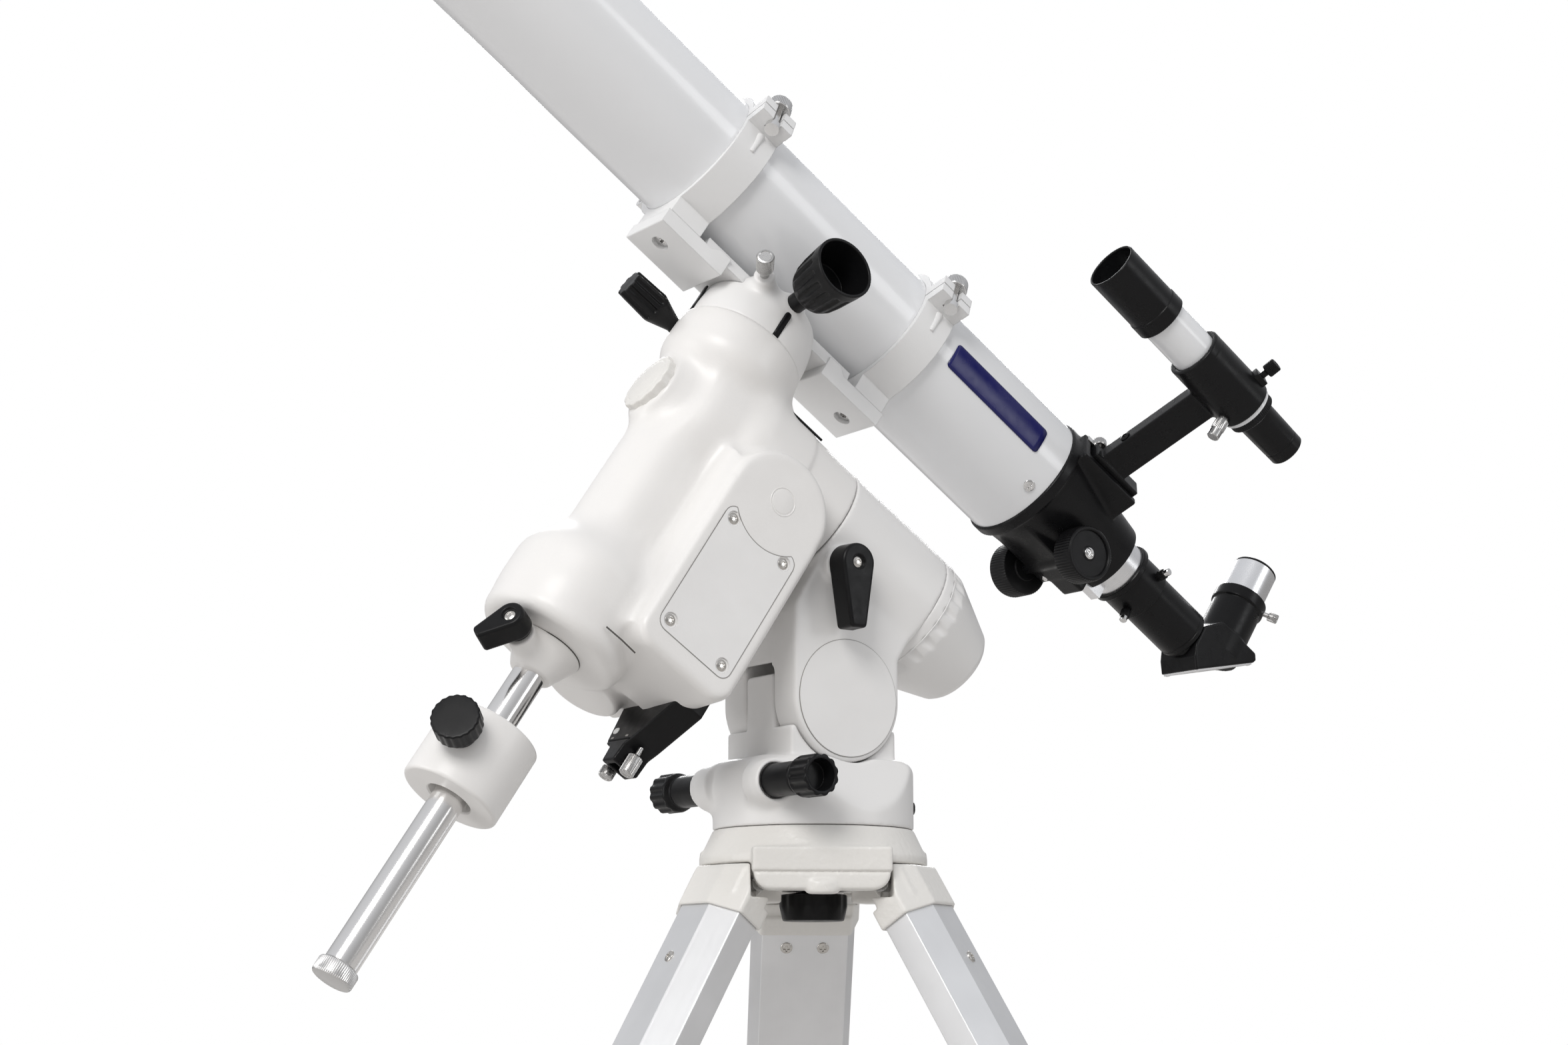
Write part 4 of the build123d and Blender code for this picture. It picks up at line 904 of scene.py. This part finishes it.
def screw_head(name, fr, r, h, body, sides=6, mat="screw"):
    """Low domed head with a star-shaped socket."""
    f = Field((-r - 0.5, -r - 0.5, -1.0), (r + 0.5, r + 0.5, h + 0.5), r / 16)
    x, y, z = f.xyz()
    q, a = polar(x, y)
    d = smax(capped(q, z, r, -0.8, h, r * 0.12), np.sqrt(q * q + (z + 2.2 * r - h) ** 2) - 2.2 * r, 0.1)
    if sides == 4:
        hole = np.minimum(np.maximum(np.abs(x) - r * 0.13, np.abs(y) - r * 0.55), np.maximum(np.abs(y) - r * 0.13, np.abs(x) - r * 0.55))
    else:
        hole = q - r * (0.42 + 0.07 * np.cos(6 * a))
    d = np.maximum(d, -np.maximum(hole, h * 0.25 - z))
    return piece(cast(name, f, d, fr), body, mat, "bright_steel")


for tag, fr, z in (("polar", LEV, 13.9), ("collar", BLV, 13.4)):
    screw_head("lever_screw_" + tag, fr.sub((0, 0, z), (0, 0, 1)), 3.7, 0.9, {"polar": "ra_lever", "collar": "bar_lever"}[tag])
for i, (a, b) in enumerate(((-33, -62), (-75.5, -62), (-33, -139.5), (-75.5, -139.5))):
    screw_head(f"cover_screw_{i}", FRONT.sub((-a, b, 57.6), (0, 0, 1)), 3.6, 0.9, "ra_body")

# ------------------------------------------------------------------ plug-in module under the drive box
f = Field((-97, -36, -204), (-66, 49, -147), 0.55)
s, w, t = f.xyz()
body = extruded(polygon(w, t, corner_round([(30, -149, 0), (30, -160.8, 1), (3, -185, 3), (-4, -190, 3), (-6, -201.5, 1.5), (-20, -201.5, 1.5), (-21, -190, 3), (-28, -188, 3), (-34, -160, 3), (-34, -149, 0)], 4)), s, -95, -75, 1.4)
body = smax(body, -block(f, -91.5, -79, -17, -9, -215, -195), 0.5)
body = smax(body, -block(f, -76.2, -60, -31, -0.5, -186.5, -186.0), 0.3)
piece(cast("module_shell", f, body, MOUNT), "ra_body", "black", "black_plastic", "wireless_module")
piece(prism("module_lamp", corner_round([(20.6, -2.2, 2.1), (26.6, -2.2, 2.1), (26.6, 2.2, 2.1), (20.6, 2.2, 2.1)]), MOUNT.sub((-75.4, 0, -178.9), (1, 0, 0), (0, -1, 0)), 0, 0.9, 0.3), "ra_body", "lamp", "tube_white")
for i, (a, b) in enumerate(((6.6, -184.0), (23, -184.4))):
    # painted shade: dark grey strips standing in for the shaded slots in the module
    piece(prism(f"module_slot_{i}", corner_round([(a - 1.6, -0.7, 0.6), (a + 1.6, -0.7, 0.6), (a + 1.6, 0.7, 0.6), (a - 1.6, 0.7, 0.6)]), MOUNT.sub((-75.5, 0, b), (1, 0, 0), (0, -1, 0)), 0, 0.75, 0.1), "ra_body", "seam", "black_plastic")
thumbscrew("module_screw_a", MOUNT.sub((-85, -1, 0), (0, 0, -1)), 193, 206, 4.7, "ra_body", 8)
thumbscrew("module_screw_b", MOUNT.sub((-85, -25.5, 0), (0, 0, -1)), 199, 206, 4.7, "ra_body", 12)

# ------------------------------------------------------------------ focuser
f = Field((-309, -49, 95), (-214, 50, 193.5), 0.85)
s, w, t = f.xyz()
q = t - TUBE_T
r = np.sqrt(w * w + q * q)
body = smin(capped(r, s, 46.6, -225.5, -217.4, 0.9), polygon(r, s, [(-10, -305), (26.6, -305), (29.6, -284), (39.4, -240), (42.6, -226), (-10, -226)]) - 1.0, 1.5)
pin = smin(block(f, -282, -230, -18, 18, 105.5, 140, 1.6), block(f, -297, -270, -10, 10, 105.5, 140, 1.6), 1.0)
body = smin(body, pin, 2.5)
body = smin(body, rod(f, (-267, -27.5, 109), (-267, 27.5, 109), 5.2, rd=0.8), 1.0)
sy, sz = w * math.cos(FP) - q * math.sin(FP), w * math.sin(FP) + q * math.cos(FP)
shoe = boxd(s + 252, sy, sz - 36.5, (26, 13.5, 12.5), 1.2)
body = smin(body, shoe, 2)
slot = extruded(polygon(sy, sz, [(-7.4, 70), (7.4, 70), (7.4, 48), (9.0, 43.2), (-9.0, 43.2), (-7.4, 48)]), s, -300, -232)
body = smax(body, -slot, 0.5)
body = np.maximum(body, 21.3 - r)
piece(cast("focuser_casting", f, body, MOUNT), "tube", "satin", "black_satin", "focuser_body")
for i, (a, b) in enumerate(((-265.5, 12.6), (-265.5, -12.6), (-278, 11.5), (-278, -11.5))):
    screw_head(f"pinion_screw_{i}", MOUNT.sub((a, b, 105.4), (0, 0, -1)), 2.3, 0.8, "tube", mat="bright")
thumbscrew("shoe_screw", FIND.sub((-239.5, -8.5, 50.2), (0, -1, 0)), 1.5, 8.5, 4.8, "tube", 2)
piece(prism("shoe_strip", corner_round([(-274, -13, 0.5), (-228.5, -13, 0.5), (-228.5, -8, 0.5), (-274, -8, 0.5)]), FIND, 48.6, 49.7, 0.2), "tube", "bright", "bright_steel")
prof = [(2.9, 0), (2.9, 27.2), (9, 27.2), (9.6, 28.2), (16.6, 28.2), (18.2, 28.8), (18.9, 30.0), (18.9, 42.6), (18.3, 44.2), (17.5, 44.8), (16.4, 44.8), (15.7, 44.2), (15.4, 43.0), (5.2, 43.0), (4.6, 43.5), (0, 43.5)]
for k, tag in ((1, "near"), (-1, "far")):
    fr = MOUNT.sub((-267, 0 if k > 0 else 6, 108.4), (0, k, 0))
    piece(lathe("focus_wheel_" + tag, prof, fr, ribs=60, depth=0.55, band=(29.9, 42.7)), "focus_knobs", "black", "black_plastic", *(("focus_knobs",) if k > 0 else ()))
    screw_head("focus_wheel_screw_" + tag, fr.sub((0, 0, 43.4), (0, 0, 1)), 4.0, 1.5, "focus_knobs", 4, "bright")

# ------------------------------------------------------------------ diagonal and eyepiece
f = Field((-446, -21, 116), (-387, 21, TUBE_T + 59), 0.55)
s, w, t = f.xyz()
edge = corner_round([(-401.5, 119.8, 0.6), (-395.5, 127, 2), (-391.8, 135, 3), (-391.8, 151, 4), (-404, 164.6, 3), (-440, 164.6, 2), (-443, 160.5, 1.2), (-441.8, 157.6, 0.6)], 4)
body = extruded(polygon(s, t, edge), w, -18, 18, 1.0)
rh = np.sqrt((s + 421) ** 2 + w * w)
body = smin(body, capped(rh, t, 17.8, 150, TUBE_T + 48.4, 0.4), 1.5)
body = smin(body, capped(rh, t, 19.1, TUBE_T + 48, TUBE_T + 57.3, 0.9), 0.3)
body = smax(body, -(np.abs(rh - 18.1) - 0.5 + np.abs(t - TUBE_T - 47.6)), 0.2)
body = smin(body, capped(np.sqrt(w * w + (t - TUBE_T) ** 2), s, 15.9, -394, -387.5), 0.5)
body = np.maximum(body, -capped(rh, t, 16.1, TUBE_T + 30, TUBE_T + 90))
piece(cast("diagonal_body", f, body, MOUNT), "diagonal", "satin", "black_satin", "diagonal")
HYP = MOUNT.sub((-421.65, 0, 138.7), (-0.688, 0, -0.725), (0, 1, 0))
piece(prism("diagonal_plate", corner_round([(-17.4, -27, 2), (17.4, -27, 2), (17.4, 27, 2), (-17.4, 27, 2)]), HYP, -1.0, 1.3, 0.4), "diagonal", "plate_grey", "black_satin")
for i, (a, b) in enumerate(((-15, -24.4), (15, -24.4), (-15, 24.4), (15, 24.4))):
    screw_head(f"diagonal_screw_{i}", HYP.sub((a, b, 1.2), (0, 0, 1)), 1.7, 0.6, "diagonal", 4, "bright")
thumbscrew("holder_screw", MOUNT.sub((-421, 0, TUBE_T + 52.8), (-0.75, 0.66, 0)), 22.5, 29.5, 3.3, "diagonal", 4, 28)
EYE = DECF.sub((-421, 0, 0), (0, 0, 1), (1, 0, 0))
T = TUBE_T
piece(lathe("eyepiece_barrel", [(11.6, T + 30.2), (15.3, T + 30.2), (15.9, T + 30.8), (15.9, T + 82.0), (15.6, T + 82.4), (11.6, T + 82.4), (11.6, T + 30.2)], EYE, 128), "eyepiece", "barrel", "bright_steel", "eyepiece")
piece(lathe("eyepiece_rim", [(9.2, T + 80), (9.2, T + 82.6), (10.4, T + 84.2), (15.2, T + 84.2), (15.9, T + 83.6), (15.9, T + 82.45), (11.6, T + 82.45), (11.6, T + 80), (9.2, T + 80)], EYE, 128), "eyepiece", "satin", "black_satin")
piece(lathe("eye_lens", [(0, T + 79.6), (9.15, T + 79.6), (9.15, T + 80.8), (5, T + 81.6), (0, T + 81.9)], EYE, 64), "eyepiece", "glass", "glass")
# clamp screws of the adaptor, and rings turned in it
for i, deg in enumerate((-72, -170, 60)):
    fr = TUBE.sub((0, 0, -338), (math.cos(math.radians(deg)), math.sin(math.radians(deg)), 0))
    piece(lathe(f"adaptor_screw_{i}", [(0, 19), (2.4, 19), (2.4, 21.6), (3.5, 22.0), (3.5, 26.4), (3.1, 27), (0, 27)], fr, ribs=28, depth=0.3, band=(21.9, 26.5)), "drawtube", "satin", "black_satin")
    piece(lathe(f"adaptor_tip_{i}", [(0, 26.6), (2.6, 26.6), (2.6, 30.2), (2.2, 30.8), (0, 30.8)], fr, 40), "drawtube", "bright", "bright_steel")
prof = [(16.1, -391), (18.1, -391), (18.7, -390.4), (18.7, -388), (18.35, -387.6), (18.35, -386.8), (18.7, -386.4), (18.7, -346.6), (20.2, -346.4), (20.6, -346), (20.6, -325), (20.9, -324.6), (22.6, -324.4), (23.2, -323.8), (23.2, -320.7), (22.6, -320.1), (18.2, -320.1), (18.2, -302), (16.1, -302), (16.1, -391)]
piece(lathe("adaptor_shell", prof, TUBE, 128), "drawtube", "satin", "black_satin", "adaptor")

# ------------------------------------------------------------------ finder
FIN = FIND.sub((0, 0, 146), (1, 0, 0), (0, 0, 1))
f = Field((-279, -21, 41.5), (-214, 21, 167), 0.7)
x, y, z = f.xyz()
r = np.sqrt(y * y + (z - 146) ** 2)
body = capped(r, x, 18.8, -271, -217.4, 0.9)
body = smin(body, block(f, -262, -239, -5.5, 5.5, 46, 134, 1.0), 2.5)
foot = extruded(polygon(y, z, [(-7.0, 52.5), (7.0, 52.5), (7.0, 47), (8.4, 43.6), (-8.4, 43.6), (-7.0, 47)]), x, -276, -234, 0.5)
body = smin(body, foot, 0.8)
body = smax(body, -(np.abs(r - 18.9) - 0.4 + np.abs(x + 224) * 0.5), 0.2)
body = np.maximum(body, 15.3 - r)
piece(cast("finder_sleeve_shell", f, body, FIND), "tube", "satin", "black_satin", "finder_sleeve")
piece(lathe("finder_ring", [(15.1, -274.2), (16.8, -274.2), (17.3, -273.7), (17.3, -271.4), (16.8, -270.9), (15.1, -270.9), (15.1, -274.2)], FIN, 112), "tube", "tube", "tube_white")
piece(lathe("finder_collar", [(12.0, -279.5), (15.9, -279.5), (16.4, -279.0), (16.4, -274.7), (16.0, -274.3), (12.0, -274.3), (12.0, -279.5)], FIN, ribs=70, depth=0.25, band=(-279.2, -274.5)), "tube", "satin", "black_satin")
prof = [(7, -316.5), (11.4, -316.5), (12.2, -315.7), (12.3, -309), (12.05, -308.6), (12.05, -307.6), (12.35, -307.2), (12.8, -284), (13.6, -280.2), (7, -280.2), (7, -316.5)]
piece(lathe("finder_eye_tube", prof, FIN, 112), "tube", "satin", "black_satin", "finder_fittings")
prof = [(15.1, -185), (17.0, -185), (17.6, -184.4), (17.6, -175), (17.1, -174.4), (17.1, -134.5), (16.7, -134), (15.9, -134), (15.5, -134.6), (15.1, -150), (15.1, -185)]
piece(lathe("finder_hood", prof, FIN, 112), "tube", "satin", "black_satin")
piece(lathe("finder_glass", [(0, -160), (13.2, -160), (13.2, -157), (8, -155.6), (0, -155)], FIN, 80), "tube", "glass", "glass")
for tag, deg, col in (("a", 8, "satin"), ("b", 100, "satin")):
    fr = FIN.sub((0, 0, -262), (math.cos(math.radians(deg)), math.sin(math.radians(deg)), 0), (0, 0, 1))
    piece(prism("finder_seat_" + tag, corner_round([(-5, -5, 1), (5, -5, 1), (5, 5, 1), (-5, 5, 1)]), fr, 16.5, 21.8, 0.6), "tube", col, "black_satin")
    piece(lathe("finder_adjuster_" + tag, [(0, 21), (2.2, 21), (2.2, 25.5), (4.0, 25.8), (4.6, 26.4), (4.6, 33.4), (4.0, 34), (2.6, 34), (2.4, 33.6), (0, 33.6)], fr, ribs=30, depth=0.35, band=(26.3, 33.5)), "tube", col, "black_satin")
fr = FIN.sub((0, 0, -263), (math.cos(math.radians(-130)), math.sin(math.radians(-130)), 0), (0, 0, 1))
piece(lathe("finder_plunger", [(0, 17), (3.4, 17), (3.4, 20), (4.5, 20.4), (4.5, 27.4), (4.1, 28), (4.1, 33.6), (3.6, 34.2), (0, 34.2)], fr, ribs=28, depth=0.3, band=(20.3, 27.5)), "tube", "knurl", "bright_steel")
screw_head("finder_arm_screw", FIND.sub((-239.2, 0, 72), (1, 0, 0)), 3.6, 1.8, "tube", 4, "black")

# ------------------------------------------------------------------ ring hardware
for k, tag in ((-1, "rear"), (1, "front")):
    fr = RING.sub((k * 83, 58, 0), (0, 0, 1))
    prof = [(2.7, 8.05), (6.9, 8.05), (7.6, 8.7), (7.9, 9.4), (7.9, 16.3), (7.5, 17.2), (6.7, 17.6), (4.2, 17.6), (3.6, 17.2), (2.7, 17.2), (2.7, 8.05)]
    piece(lathe("ring_nut_" + tag, prof, fr, ribs=44, depth=0.4, band=(9.3, 16.4)), "tube", "knurl", "bright_steel")
    f = Field((k * 83 - 7, 40, -28), (k * 83 + 7, 60, -6), 0.5)
    x, y, z = f.xyz()
    piece(cast("ring_fin_" + tag, f, np.maximum(rod(f, (k * 83, 47.5, -10), (k * 83, 43.0, -24), 3.2, 1.6), 45.4 - np.sqrt(y * y + z * z)), RING), "tube", "ring", "mount_white")
SAFE = MOUNT.sub((25, 33.3, 91.5), (0.6, 0.8, 0))
piece(lathe("safety_screw_head", [(0, -4), (2.9, -4), (2.9, 8), (4.2, 8.6), (4.9, 9.6), (5.6, 10.3), (5.6, 22.0), (5.0, 22.8), (4.0, 23.0), (3.6, 22.7), (0, 22.7)], SAFE, ribs=44, depth=0.35, band=(10.2, 22.1)), "safety_screw", "knurl", "bright_steel", "safety_screw")

# ------------------------------------------------------------------ tube: plain label, screws; barrel: port strip; legs: screws
piece(wrap("tube_label", corner_round([(-195, -103, 3), (-107, -103, 3), (-107, -79, 3), (-195, -79, 3)], 5), 45.0, TUBE, 0.12), "tube", "blue", "tube_white")
for i, deg in enumerate((-126, -6, 114)):
    a = math.radians(deg)
    screw_head(f"tube_screw_{i}", TUBE.sub((44.8 * math.cos(a), 44.8 * math.sin(a), -206.6), (math.cos(a), math.sin(a), 0)), 4.0, 1.9, "tube", 4, "bright")
piece(wrap("port_strip", corner_round([(-68, -37, 2), (-36, -37, 2), (-36, -26, 2), (-68, -26, 2)], 4), 45.5, RA, 1.0), "ra_body", "black", "black_plastic")
for k, tag in ((-1, "rear"), (1, "front")):
    piece(prism("jaw_pad_" + tag, corner_round([(k * 40, -15, 0.5), (k * 46.5, -15, 1), (k * 46.5, 15, 1), (k * 40, 15, 0.5)][::k]), MOUNT, 86.2, 89.6, 0.4), "tube", "black", "black_plastic")
for tag, fr in LEGF.items():
    for k in (-1, 1):
        screw_head(f"leg_screw_{tag}_{'ab'[k > 0]}", fr.sub((k * 11.65, -9.9, -35.6), (0, -1, 0)), 3.9, 1.5, "leg_" + tag, 4)
    screw_head(f"leg_front_screw_{tag}", fr.sub((0, 19.3, -61), (0, 1, 0)), 3.7, 1.5, "leg_" + tag, 4)
a = math.radians(-33)
screw_head("base_screw", SEAM.sub((61.8 * math.cos(a), 61.8 * math.sin(a), 14), (math.cos(a), math.sin(a), 0)), 3.8, 1.6, "azimuth", 6, "black")

# ------------------------------------------------------------------ floor, light, camera
bm = bmesh.new()
bmesh.ops.create_grid(bm, x_segments=8, y_segments=8, size=24)
me = bpy.data.meshes.new("floor")
bm.to_mesh(me)
bm.free()
floor = object_of("floor", me)
floor.location = (0, 0, -0.0006)
fm, nt, b = new_mat("floor_pale")
nt.links.new(ramp(nt, noise(nt, coords(nt), 3, 3), [(0.3, (0.46, 0.446, 0.43)), (0.7, (0.485, 0.47, 0.453))]), b.inputs["Base Color"])
b.inputs["Roughness"].default_value = 0.7
me.materials.append(fm)

# white surroundings behind the object; a dimmer room, bright above and dark at the sides, for light and reflections
world = bpy.data.worlds.new("studio")
bpy.context.scene.world = world
world.use_nodes = True
wnt = world.node_tree
bg = wnt.nodes["Background"]
tc = wnt.nodes.new("ShaderNodeTexCoord")
sep = wnt.nodes.new("ShaderNodeSeparateXYZ")
wnt.links.new(tc.outputs["Generated"], sep.inputs["Vector"])
lift = wnt.nodes.new("ShaderNodeMapRange")
lift.inputs["From Min"].default_value = -1.0
wnt.links.new(sep.outputs["Z"], lift.inputs["Value"])
wr = wnt.nodes.new("ShaderNodeValToRGB")
els = wr.color_ramp.elements
els[0].position, els[0].color = 0.0, (0.30, 0.28, 0.26, 1)
els[1].position, els[1].color = 1.0, (0.70, 0.71, 0.735, 1)
for p, c in ((0.46, (0.30, 0.29, 0.28, 1)), (0.56, (0.34, 0.34, 0.345, 1)), (0.78, (0.60, 0.607, 0.625, 1))):
    e = els.new(p)
    e.color = c
wnt.links.new(lift.outputs["Result"], wr.inputs["Fac"])
wnt.links.new(wr.outputs["Color"], bg.inputs["Color"])
bg.inputs["Strength"].default_value = 1.0
plain = wnt.nodes.new("ShaderNodeBackground")
plain.inputs["Color"].default_value = (1, 1, 1, 1)
plain.inputs["Strength"].default_value = 1.0
path = wnt.nodes.new("ShaderNodeLightPath")
mix = wnt.nodes.new("ShaderNodeMixShader")
wnt.links.new(path.outputs["Is Camera Ray"], mix.inputs["Fac"])
wnt.links.new(bg.outputs["Background"], mix.inputs[1])
wnt.links.new(plain.outputs["Background"], mix.inputs[2])
wnt.links.new(mix.outputs["Shader"], wnt.nodes["World Output"].inputs["Surface"])


def area(name, loc, target, size, power, colour=(1, 1, 1)):
    d = bpy.data.lights.new(name, "AREA")
    d.shape = "RECTANGLE"
    d.size, d.size_y = size
    d.energy = power
    d.color = colour
    o = bpy.data.objects.new(name, d)
    bpy.context.scene.collection.objects.link(o)
    o.location = loc
    o.rotation_euler = (Vector(target) - Vector(loc)).to_track_quat("-Z", "Y").to_euler()
    return o


area("key", (-4.8, -3.8, 5.0), (0, 0, 1.0), (3.0, 3.0), 262, (1.0, 0.985, 0.965))
area("side", (3.0, -4.8, 2.45), (0, 0, 1.05), (1.4, 3.0), 34, (0.97, 0.985, 1.0))
area("left", (-5.4, 1.4, 1.65), (0, 0, 0.95), (2.8, 3.2), 84)
area("back", (3.2, 4.4, 4.2), (0, 0, 1.0), (3.2, 2.4), 225)

cam_data = bpy.data.cameras.new("camera")
cam_data.sensor_width = 36.0
cam_data.lens = 57.287
cam_data.clip_start, cam_data.clip_end = 0.05, 200
cam = bpy.data.objects.new("camera", cam_data)
bpy.context.scene.collection.objects.link(cam)
cam.location = (-0.8857, -1.2713, 0.7135)
cam.rotation_euler = (math.radians(100.84), 0, math.radians(-34.2))
bpy.context.scene.camera = cam
bpy.context.scene.view_settings.view_transform = "Standard"
